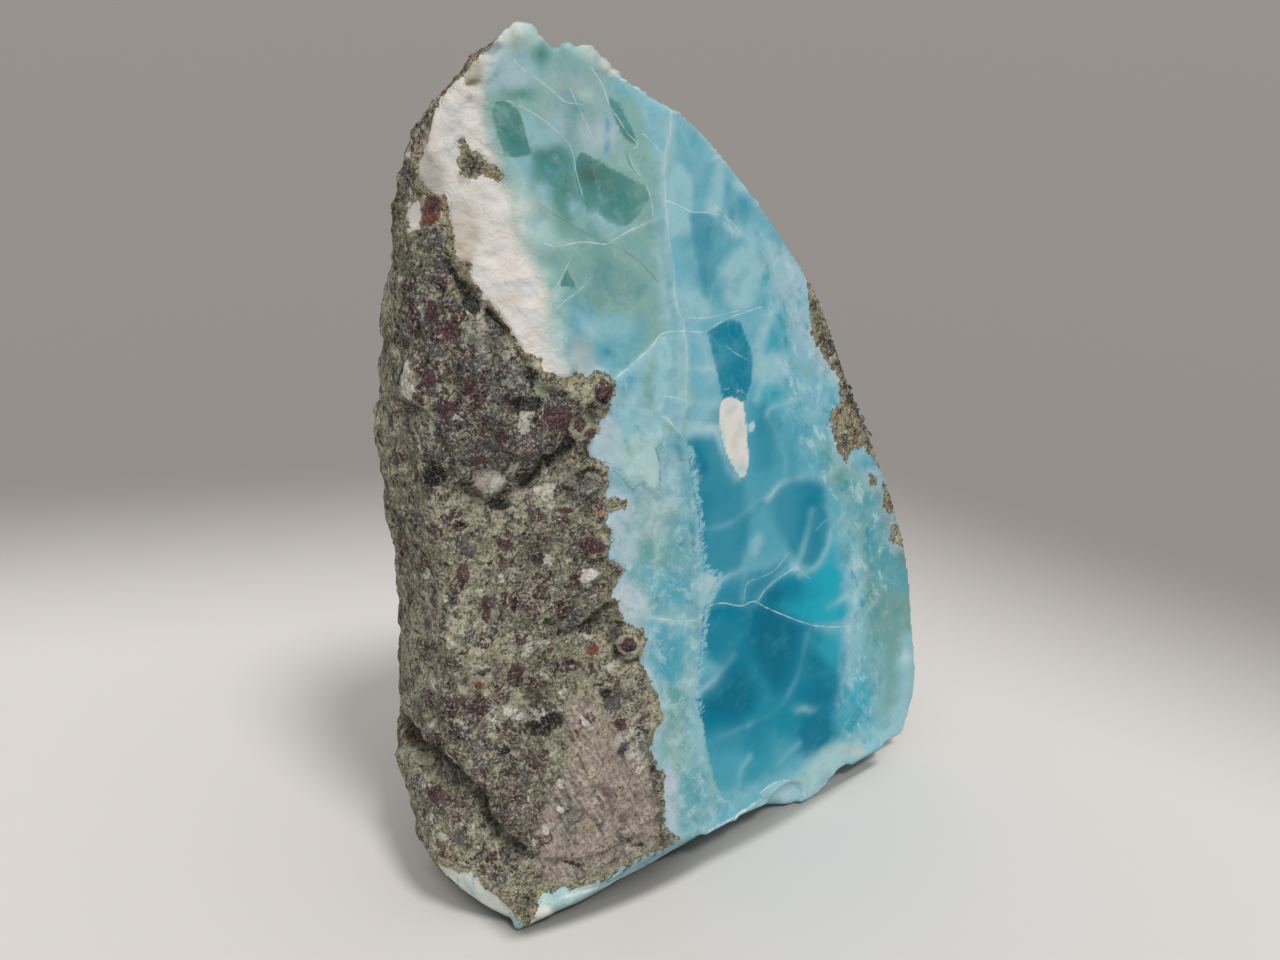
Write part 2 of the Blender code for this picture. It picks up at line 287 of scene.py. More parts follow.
def to_line(uv, line):
    """Distance to an open line, its side as +1 or -1, and how far past one of its ends the point lies."""
    best = np.full(len(uv), 1e9)
    side = np.ones(len(uv))
    past = np.zeros(len(uv))
    line = places_of(line)
    last = len(line) - 2
    for k, (a, b) in enumerate(zip(line, line[1:])):
        a, b = np.array(a, float), np.array(b, float)
        run = b - a
        along = (uv - a) @ run / (run @ run)
        held = np.clip(along, 0.0, 1.0)
        away = uv - a - held[:, None] * run
        distance = np.hypot(away[:, 0], away[:, 1])
        nearer = distance < best
        best = np.where(nearer, distance, best)
        turn = run[0] * (uv[:, 1] - a[1]) - run[1] * (uv[:, 0] - a[0])
        side = np.where(nearer, np.where(turn < 0, -1.0, 1.0), side)
        over = np.zeros(len(uv))
        if k == 0:
            over = np.maximum(over, -along * np.hypot(*run))
        if k == last:
            over = np.maximum(over, (along - 1) * np.hypot(*run))
        past = np.where(nearer, over, past)
    return best, side, past


def curved(path, closed=False, steps=3):
    """The line or outline with its corners rounded: more points, on a smooth curve through the given ones."""
    points = places_of(path)
    if closed:
        ends = np.vstack((points[-1], points, points[0], points[1]))
    else:
        ends = np.vstack((2 * points[0] - points[1], points, 2 * points[-1] - points[-2]))
    a, b, c, d = (ends[k : len(ends) - 3 + k, None] for k in range(4))
    t = (np.arange(steps) / steps)[None, :, None]
    curve = b + 0.5 * t * (c - a + t * (2 * a - 5 * b + 4 * c - d + t * (3 * (b - c) + d - a)))
    curve = curve.reshape(-1, 2)
    return curve if closed else np.vstack((curve, points[-1]))


def within(uv, outline):
    """Distance in pixels to a closed outline, positive inside it."""
    outline = places_of(outline)
    distance, _, _ = to_line(uv, (*outline, outline[0]))
    inside = np.zeros(len(uv), bool)
    x, y = uv.T
    for (ax, ay), (bx, by) in zip(outline, (*outline[1:], outline[0])):
        if ay == by:
            continue
        crosses = (ay > y) != (by > y)
        inside ^= crosses & (x < (bx - ax) * (y - ay) / (by - ay) + ax)
    return np.where(inside, distance, -distance)


# The basalt's outline in the view, and pieces of it that lie in the vein.

BASALT = (
    "340,20 380,20 500,26 499,38 480,55 457,80 443,96 432,115 426,134 423,150 418,160 415,172 420,180 "
    "424,187 436,192 446,195 449,215 452,230 453,247 456,256 468,262 470,279 484,298 500,314 510,333 "
    "524,352 536,358 542,360 545,371 559,377 570,377 576,372 590,379 595,371 607,373 614,388 609,402 "
    "607,415 599,423 598,431 592,438 586,449 588,457 597,460 609,466 608,489 606,501 608,511 605,523 "
    "611,530 613,538 607,554 616,562 625,566 619,579 609,597 619,601 619,613 623,622 642,630 646,640 "
    "640,656 642,669 654,687 658,705 662,716 654,733 651,748 655,758 657,770 665,774 663,787 663,807 "
    "666,827 678,838 666,846 635,858 611,874 584,884 564,887 539,893 535,905 525,919 515,911 502,897 "
    "486,888 472,872 458,872 440,862 400,940 340,900"
)
BASALT_BITS = (
    "611,499 626,500 624,508 612,512 606,507",
    "463,137 470,150 481,153 488,165 497,167 504,176 500,184 490,176 481,175 472,180 460,174 457,160 "
        "461,150 458,140",
    "806,262 818,280 832,318 846,352 858,385 870,420 876,440 884,466 878,466 868,450 862,446 850,450 "
        "846,460 838,450 836,438 830,420 832,410 842,404 841,392 838,375 824,358 813,334 810,310 808,288",
    "884,484 892,484 898,498 902,511 890,512 883,506",
    "893,525 902,526 910,538 911,547 897,545 891,538",
    "868,473 876,474 877,483 870,484",
)
# A piece of the vein that lies in the basalt.
WHITE_IN_BASALT = "408,203 420,200 422,215 420,230 410,232 406,218"

# Soft washes of colour: tone, strength, softness of the edge in pixels, then the outline.
WASHES = (
    # the polished side, from the top down
    ("azure", 1.0, 4, "655,90 960,90 960,860 655,860"),
    ("sky", 0.8, 6, "668,104 690,116 700,132 690,150 672,160 664,150"),
    ("sea", 0.6, 5, "672,112 682,122 696,160 702,196 693,196 680,150 672,130"),
    ("sky", 0.6, 5, "700,128 716,154 714,176 700,180 696,150"),
    ("teal", 0.35, 5, "704,162 714,166 715,196 706,198"),
    ("mist", 0.8, 4, "716,160 725,166 722,200 714,218 705,202"),
    ("mist", 0.95, 4, "664,162 690,172 694,190 690,240 672,238 664,205"),
    ("azure", 0.9, 5, "672,241 694,241 697,282 676,284"),
    ("mist", 0.9, 7, "678,288 706,292 716,306 712,316 688,320 680,306"),
    ("teal", 1.0, 3, "691,213 705,212 714,222 722,246 720,268 710,298 702,280 693,240"),
    ("pool", 0.7, 5, "694,216 704,218 716,246 714,270 708,280 698,244"),
    ("sea", 0.85, 6, "722,224 742,232 742,244 730,258 718,268 716,240"),
    ("sea", 0.7, 6, "712,284 726,282 732,304 716,310"),
    ("teal", 0.8, 4, "726,184 738,190 748,206 748,222 742,234 732,216 724,198"),
    ("mist", 0.95, 6, "722,264 740,246 757,238 765,262 758,292 744,308 730,306 722,284"),
    ("mist", 0.7, 9, "752,226 786,250 806,280 812,330 780,300 760,262"),
    ("azure", 0.8, 7, "742,314 762,308 764,340 754,352 746,336"),
    ("mist", 0.8, 5, "766,312 776,308 764,350 756,358 752,352"),
    ("cyan", 0.6, 5, "776,318 784,312 782,332 770,352 762,352 764,340"),
    ("mist", 0.75, 8, "686,334 708,334 716,366 721,396 718,424 696,432 686,420"),
    ("sky", 0.7, 5, "688,376 717,374 719,394 688,396"),
    ("mist", 0.9, 8, "752,360 770,352 790,360 784,382 760,386"),
    ("cyan", 0.6, 5, "752,388 768,384 783,392 780,410 764,414 750,404"),
    ("sea", 0.9, 9, "748,402 775,412 790,440 800,470 790,500 760,500 750,470"),
    ("pool", 0.9, 6, "762,404 774,412 777,440 770,470 758,466 758,430"),
    ("pool", 1.0, 8, "690,446 716,436 726,452 738,480 748,484 752,520 748,560 726,582 706,588 690,560"),
    ("sea", 0.6, 10, "752,488 768,496 786,500 790,540 772,556 752,552"),
    ("pool", 0.95, 7, "770,494 800,480 822,484 828,505 812,512 806,545 792,556 776,520"),
    ("deep", 0.8, 4, "814,512 828,506 831,528 825,548 812,564 800,560 808,540"),
    ("pool", 0.9, 5, "745,574 765,568 788,562 778,574 762,590 750,602 743,596"),
    ("deep", 0.8, 6, "718,590 730,580 742,574 742,602 724,602 712,606"),
    ("cyan", 1.0, 3, "757,603 765,590 778,579 796,567 806,578 828,562 844,574 848,600 842,618 808,622 "
        "786,615 766,606"),
    ("cyan", 0.7, 8, "824,556 840,540 846,560 838,574"),
    ("deep", 1.0, 8, "700,614 716,604 754,602 806,624 824,634 838,664 840,700 832,744 800,752 760,736 "
        "702,734 694,696 722,668 704,650"),
    ("pool", 0.7, 8, "704,626 730,622 738,650 726,664 708,654"),
    ("abyss", 0.9, 12, "752,606 790,616 798,640 790,676 776,690 762,670 750,640"),
    ("abyss", 0.9, 11, "722,680 742,668 752,684 750,712 730,722 706,716 708,698"),
    ("teal", 0.6, 10, "754,712 770,700 796,700 806,716 790,740 756,736"),
    ("teal", 0.6, 6, "806,632 830,636 846,650 842,668 824,664 808,650"),
    ("cyan", 0.6, 6, "824,640 846,636 848,660 836,670 820,660"),
    ("abyss", 0.5, 9, "808,652 820,656 822,670 810,672"),
    ("abyss", 0.5, 10, "814,682 828,680 832,698 818,706 810,696"),
    ("sea", 0.8, 9, "698,736 740,728 790,736 800,752 770,786 720,802 704,770"),
    ("teal", 0.6, 7, "744,740 770,738 772,760 752,784 742,770"),
    ("abyss", 0.6, 11, "808,718 824,714 832,728 826,750 812,756 804,740"),
    ("sea", 0.8, 8, "840,702 866,710 872,734 850,742 838,730"),
    ("cyan", 0.75, 5, "846,672 870,672 872,700 852,704 844,694"),
    ("cyan", 0.4, 7, "848,706 872,704 876,730 856,738 838,730 836,712"),
    # its right-hand side
    ("sky", 0.85, 8, "790,262 812,300 826,360 840,412 836,450 800,420 790,350"),
    ("celadon", 0.75, 9, "818,440 850,460 884,484 892,520 862,530 846,500 828,480"),
    ("mist", 0.6, 7, "838,540 852,520 866,560 862,650 852,690 842,670 848,600"),
    ("celadon", 0.9, 10, "858,520 912,540 916,720 892,738 876,720 866,650 864,580"),
    ("jade", 0.45, 10, "862,560 912,560 914,690 890,712 876,690 868,640"),
    ("sea", 0.55, 9, "858,496 888,500 912,548 906,590 876,584 864,540"),
    ("mist", 0.8, 8, "898,640 914,640 912,730 890,742 878,736 896,700"),
    ("mist", 0.75, 7, "850,732 884,724 904,730 900,750 850,756 838,748"),
    ("mist", 0.9, 9, "836,744 846,752 820,796 800,806 788,790 806,768"),
    ("sky", 0.8, 10, "700,800 760,786 800,770 806,800 760,800 700,836"),
    ("lavender", 0.5, 9, "772,240 800,262 818,300 812,350 790,330 776,280"),
    ("chalk", 0.5, 7, "812,326 838,346 848,372 838,386 818,362"),
    ("mist", 0.75, 5, "684,426 704,424 718,430 716,440 700,440 686,440"),
    ("azure", 0.6, 7, "680,336 700,338 706,380 704,418 684,420"),
    ("deep", 0.5, 9, "702,716 764,716 768,748 706,748"),
    ("mist", 0.25, 14, "668,110 720,140 800,250 806,330 690,330 668,300"),
    ("azure", 0.2, 12, "700,440 780,440 790,560 700,580"),
    ("frost", 0.5, 6, "764,803 790,780 812,758 838,744 862,742 850,760 822,786 800,803"),
    ("sky", 0.45, 7, "868,646 886,648 888,712 872,724"),
    ("azure", 0.6, 6, "664,100 690,116 704,134 700,150 676,128"),
    # the broken strip under it
    ("frost", 0.9, 4, "530,892 600,884 680,846 740,816 764,803 776,808 700,856 600,912 530,935"),
    ("mist", 0.6, 5, "620,862 680,842 720,828 700,846 620,884"),
    ("chalk", 0.9, 4, "532,904 548,900 552,918 530,926"),
    ("ash", 0.9, 5, "440,862 478,874 508,902 520,924 480,916 440,890"),
    ("chalk", 0.7, 5, "446,878 480,890 500,912 470,910 444,894"),
    # the green facet
    ("jade_light", 1.0, 4, "480,20 640,50 675,100 668,190 672,290 690,440 560,470 480,400"),
    ("mist", 0.7, 9, "492,40 545,24 556,44 540,74 505,86"),
    ("celadon", 0.8, 6, "534,40 556,46 580,70 566,84 548,76 534,60"),
    ("jade", 0.6, 6, "560,60 580,70 590,90 574,84"),
    ("celadon", 0.9, 8, "560,74 596,74 610,100 600,124 572,110"),
    ("jade", 0.5, 8, "570,106 600,104 606,124 584,132 572,122"),
    ("jade", 0.6, 5, "504,90 522,86 540,90 536,100 512,98"),
    ("mist", 0.75, 8, "520,114 556,112 566,138 556,150 532,152 524,134"),
    ("celadon", 0.6, 7, "540,108 556,112 552,128 540,122"),
    ("jade", 0.9, 6, "532,156 548,148 566,146 576,160 577,180 582,204 568,222 550,204 528,188"),
    ("mist", 0.8, 6, "508,156 530,158 534,172 526,190 516,180"),
    ("mist", 0.7, 6, "536,184 548,188 548,208 538,206"),
    ("jade", 0.4, 9, "536,210 580,224 600,236 560,236"),
    ("celadon", 0.8, 6, "640,150 652,180 654,220 638,230 640,190"),
    ("jade_light", 0.8, 5, "606,66 636,84 650,130 656,200 650,200 640,168 628,130 612,92"),
    ("mist", 0.8, 6, "632,78 674,104 668,190 672,290 688,330 686,420 672,420 664,330 656,250 658,180 "
        "646,130"),
    ("azure", 0.4, 6, "640,96 660,112 662,150 650,140"),
    ("jade", 0.75, 7, "534,246 560,248 566,262 552,284 540,268"),
    ("celadon", 0.8, 8, "582,250 630,256 650,290 640,320 590,326 572,300 566,270"),
    ("jade", 0.35, 9, "588,252 625,262 640,300 600,300"),
    ("jade", 0.5, 7, "572,292 600,300 598,316 574,314"),
    ("azure", 0.75, 8, "582,312 600,318 640,316 644,340 626,366 606,376 572,362 562,330"),
    ("sea", 0.4, 7, "590,318 614,318 616,344 598,344"),
    ("azure", 0.5, 7, "568,300 590,304 594,356 576,356"),
    ("lavender", 0.5, 6, "574,350 592,352 592,376 578,378"),
    ("beige", 0.35, 7, "566,334 594,340 594,376 576,374"),
    ("moss", 0.5, 5, "874,490 886,494 904,530 906,566 896,560 884,524"),
    ("beige", 0.6, 3, "842,750 858,746 862,752 846,757"),
    ("celadon", 0.5, 7, "618,306 642,308 644,330 624,334"),
    ("lavender", 0.3, 14, "540,70 600,70 612,140 560,142"),
    ("mist", 0.6, 8, "582,316 630,318 624,338 590,336"),
    ("frost", 0.9, 6, "484,50 505,32 540,20 552,34 524,50 496,66"),
    ("chalk", 0.75, 7, "474,56 494,30 520,24 514,38 500,50 490,74"),
    ("lavender", 0.45, 8, "494,56 520,52 532,72 524,88 498,86"),
    ("sky", 0.6, 5, "604,72 640,84 672,102 692,118 680,126 650,112 620,94"),
    # the rough white part, which fades into the green
    ("frost", 0.7, 12, "514,186 530,190 546,214 552,236 556,262 566,292 566,332 548,320 524,246"),
    ("chalk", 1.0, 9, "486,52 483,90 484,115 490,140 499,160 503,182 512,198 515,226 522,252 538,274 "
        "547,298 551,328 563,354 572,392 540,396 500,350 460,296 395,250 390,150 425,80 462,40"),
    ("beige", 0.8, 7, "448,206 468,206 482,226 478,252 466,268 450,244"),
    ("beige", 0.35, 8, "496,286 520,288 520,308 506,318 494,304"),
    ("beige", 0.35, 7, "456,184 486,188 498,200 470,202"),
    ("beige", 0.6, 7, "414,152 440,158 444,194 424,190 412,172"),
    ("slate", 0.35, 7, "416,158 436,162 442,194 426,190"),
    ("lavender", 0.4, 8, "446,112 462,106 462,150 446,160"),
    ("mist", 0.3, 7, "544,320 556,330 566,376 556,380 546,350"),
    ("olive", 0.85, 3, "464,74 470,64 480,61 482,72 479,82 466,86"),
    ("bark", 0.75, 2, "464,82 472,79 480,78 480,84 465,87"),
    ("bark", 0.95, 3, "482,46 497,43 501,50 494,56 484,55"),
)

# The rough white part as a whole.
WHITE_PART = (
    "494,60 490,90 491,115 495,140 502,160 512,180 520,196 525,215 530,245 543,268 553,287 553,314 "
    "562,338 571,362 577,392 540,392 500,345 460,290 430,240 400,240 395,150 430,80 470,40 500,30"
)

# Soft spots: tone, strength, middle, half width, half height, lean in degrees.
SPOTS = (
    ("abyss", 0.8, 704, 470, 9, 9, 0), ("deep", 0.5, 712, 500, 10, 12, 0),
    ("deep", 0.7, 812, 503, 9, 15, 15), ("abyss", 1.0, 776, 594, 20, 14, -25),
    ("deep", 0.8, 794, 588, 18, 17, 0), ("abyss", 0.7, 766, 626, 14, 24, 0),
    ("deep", 0.8, 733, 213, 4, 9, -25), ("pale", 0.7, 797, 567, 6, 5, 30),
    ("mist", 0.5, 846, 584, 7, 12, 0), ("pool", 0.7, 679, 451, 5, 4, 0),
    ("pale", 0.7, 712, 212, 6, 6, 0), ("pale", 0.6, 757, 545, 5, 11, 20),
    ("pale", 0.25, 709, 582, 10, 9, 0), ("mist", 0.7, 706, 600, 7, 8, 0),
    ("mist", 0.6, 806, 709, 10, 5, -10), ("jade", 0.5, 842, 477, 7, 10, 0),
    ("pool", 0.4, 762, 258, 3, 10, 0), ("pale", 0.8, 905, 655, 5, 7, 0),
    ("cyan", 0.5, 858, 688, 8, 7, 0), ("lavender", 0.9, 604, 136, 20, 17, -20),
    ("celadon", 0.6, 598, 112, 10, 6, 0), ("sea", 0.9, 607, 126, 3, 10, 0),
    ("sea", 0.8, 609, 147, 3, 7, 0), ("pool", 0.8, 611, 352, 8, 6, 0),
    ("azure", 0.7, 625, 384, 12, 7, -20), ("frost", 0.8, 586, 96, 10, 7, 40),
    ("olive", 0.35, 576, 84, 5, 6, 0), ("olive", 0.25, 546, 116, 6, 5, 0),
    ("mist", 0.8, 574, 208, 7, 8, 0), ("mist", 0.9, 598, 216, 14, 7, 15),
    ("mist", 0.8, 612, 226, 12, 6, 10), ("lavender", 0.8, 600, 370, 9, 6, 0),
    ("celadon", 0.7, 560, 258, 14, 8, 0), ("frost", 0.8, 582, 50, 20, 8, -20),
    ("chalk", 0.7, 690, 112, 3, 3, 0), ("pale", 0.6, 530, 226, 12, 14, 0),
    ("jade", 0.5, 546, 262, 12, 9, 0), ("chalk", 0.6, 522, 226, 7, 9, 0),
    ("chalk", 0.7, 540, 292, 10, 12, 0), ("pale", 0.6, 556, 300, 7, 12, 0),
    ("beige", 0.4, 532, 206, 12, 7, 20), ("chalk", 0.7, 522, 210, 8, 10, 0),
    ("pale", 0.6, 560, 340, 7, 12, 0), ("pale", 0.5, 494, 84, 10, 14, 0),
    ("pale", 0.6, 500, 56, 14, 10, 0), ("jade_deep", 0.8, 545, 54, 9, 9, 30),
    ("jade", 0.6, 520, 94, 22, 5, -5), ("chalk", 0.9, 606, 66, 6, 4, 35),
    ("chalk", 0.9, 614, 71, 5, 3, 35), ("chalk", 0.8, 626, 78, 9, 3, 25),
    ("chalk", 0.7, 645, 86, 8, 3, 28), ("chalk", 0.7, 592, 56, 6, 4, 40),
    ("chalk", 0.6, 510, 29, 18, 4, -8), ("frost", 0.8, 586, 96, 8, 6, 30),
    ("soot", 0.75, 628, 136, 3.5, 5, -35), ("sea", 0.4, 568, 298, 8, 8, 0),
    ("pale", 0.6, 742, 183, 8, 9, 40), ("deep", 0.9, 700, 462, 8, 20, 0),
    ("deep", 0.5, 704, 520, 6, 30, 0), ("teal", 0.5, 724, 586, 10, 10, 0),
    ("deep", 0.9, 812, 522, 13, 24, 15), ("teal", 0.8, 846, 552, 7, 13, 0),
    ("teal", 0.6, 844, 664, 8, 14, 0), ("teal", 0.6, 848, 736, 9, 7, 0),
    ("pool", 0.6, 720, 420, 10, 20, 0), ("jade_deep", 0.8, 551, 160, 14, 11, 0),
    ("jade_deep", 0.5, 566, 184, 10, 14, 0), ("pale", 0.7, 717, 156, 4, 3, 0),
    ("pale", 0.7, 755, 205, 4, 3, 0), ("maroon", 0.5, 465, 60, 5, 3, -40),
    ("rust", 0.6, 469, 99, 2.5, 3, 0), ("mist", 0.5, 790, 250, 12, 18, 30),
    ("lavender", 0.5, 820, 352, 8, 14, 20), ("lavender", 0.5, 812, 330, 6, 10, 20),
)

# Soft strokes: tone, strength, half width in pixels, then the line.
STROKES = (
    # a pale line along the ridge where the two polished sides meet: a pale seam with a painted highlight on
    # the edge
    ("web", 0.4, 1.6, "672,104 670,134 665,153 664,172 665,191 667,220 670,249 674,270 675,298 684,326 "
        "687,355 687,383 685,412 682,433"),
    ("sky", 0.5, 2.4, "706,529 730,524 751,505 768,496 782,483 801,477 815,474"),
    ("pale", 0.45, 2.4, "767,500 775,490 782,484 792,480 801,477"),
    ("mist", 0.6, 3.0, "828,606 838,600 852,590"),
    ("sky", 0.65, 2.6, "813,510 808,530 801,554 797,566"),
    ("mist", 0.6, 2.0, "845,512 838,520 832,530 829,544 822,560 810,570 799,576"),
    ("sky", 0.4, 1.8, "828,505 832,518 831,530"),
    ("sky", 0.7, 3.0, "760,536 752,548 746,562 745,584 743,604"),
    ("mist", 0.7, 2.4, "745,568 734,574 722,579 714,588 708,600"),
    ("sky", 0.55, 2.4, "787,554 778,566 766,574 748,584"),
    ("mist", 0.5, 2.2, "796,567 778,579 765,590 757,602"),
    ("sea", 0.3, 4.5, "741,608 741,636 748,660 760,680 768,700"),
    ("azure", 0.6, 2.4, "806,632 803,655 799,672 790,694 778,710 764,719 748,726"),
    ("sea", 0.4, 3.0, "806,632 812,644 826,652 842,664"),
    ("sea", 0.35, 3.0, "802,672 812,676 832,672"),
    ("mist", 0.9, 2.8, "734,655 725,666 716,677 706,686 695,694"),
    ("mist", 0.45, 2.2, "856,648 843,680 845,702 858,716 874,734 884,742"),
    ("sky", 0.6, 3.0, "750,756 741,768 738,790"),
    ("sky", 0.4, 2.4, "800,742 784,758 772,776"),
    ("mist", 0.6, 3.2, "770,780 756,788 742,798"),
    ("sky", 0.2, 3.0, "706,745 740,728 772,717"),
    ("pale", 0.4, 3.0, "853,556 856,590 848,640 852,690"),
    ("mist", 0.5, 3.5, "756,400 764,372 756,346"),
    ("mist", 0.6, 2.4, "796,400 772,408 768,416"),
    ("sky", 0.45, 3.0, "770,420 784,452 786,480"),
    ("pale", 0.5, 3.0, "738,192 728,206 714,214 724,224 740,234"),
    ("mist", 0.6, 2.4, "728,196 742,232 748,238"),
    ("mist", 0.4, 2.4, "676,112 690,150 700,190 712,210"),
    ("pale", 0.5, 3.0, "686,367 716,370"),
    ("pale", 0.8, 3.2, "686,434 702,430 714,432 721,446 730,470 738,480"),
    ("pale", 0.5, 3.5, "686,402 720,404"),
    ("pale", 0.5, 3.0, "686,424 705,428 724,428"),
    ("celadon", 0.6, 5.0, "650,300 655,340 652,400 650,430"),
    ("frost", 0.5, 3.0, "544,243 587,242 629,231 655,219"),
    ("jade_light", 0.6, 4.0, "552,287 566,262 583,244"),
    ("jade_light", 0.6, 3.0, "556,312 566,300 590,280"),
    ("pale", 0.5, 3.0, "590,328 606,344 626,356"),
    # pale lines along the crest and the top right edge: painted highlights on the rim, with white chips on
    # the crest
    ("chalk", 0.8, 2.2, "560,36 574,40 588,46 602,60 620,74 640,84 662,96 690,118"),
    ("frost", 0.7, 2.4, "690,118 712,144 740,180 760,206"),
    ("frost", 0.8, 3.0, "572,40 584,52 596,66"),
)

# How much of the fibres shows: strength, softness of the edge in pixels, then the outline.
FIBRES = (
    (0.1, 6, "655,90 960,90 960,860 655,860"),
    (0.2, 6, "480,20 640,50 675,100 668,190 672,290 690,440 560,470 480,400"),
    (0.9, 12, "752,226 800,262 850,400 892,520 870,740 842,740 848,600 836,520 800,440 784,400 770,330"),
    (0.0, 8, "692,446 722,440 760,410 780,450 800,474 830,484 836,540 846,600 838,690 800,760 720,800 "
        "704,740"),
    (0.0, 5, "488,58 488,120 516,194 548,287 574,392 540,392 460,290 395,240 395,150 430,80 470,40"),
    (0.6, 4, "560,440 690,432 702,470 703,640 696,740 712,790 740,800 540,930"),
    (0.55, 4, "570,400 617,376 652,345 672,352 662,440 655,490 620,472 585,460"),
)

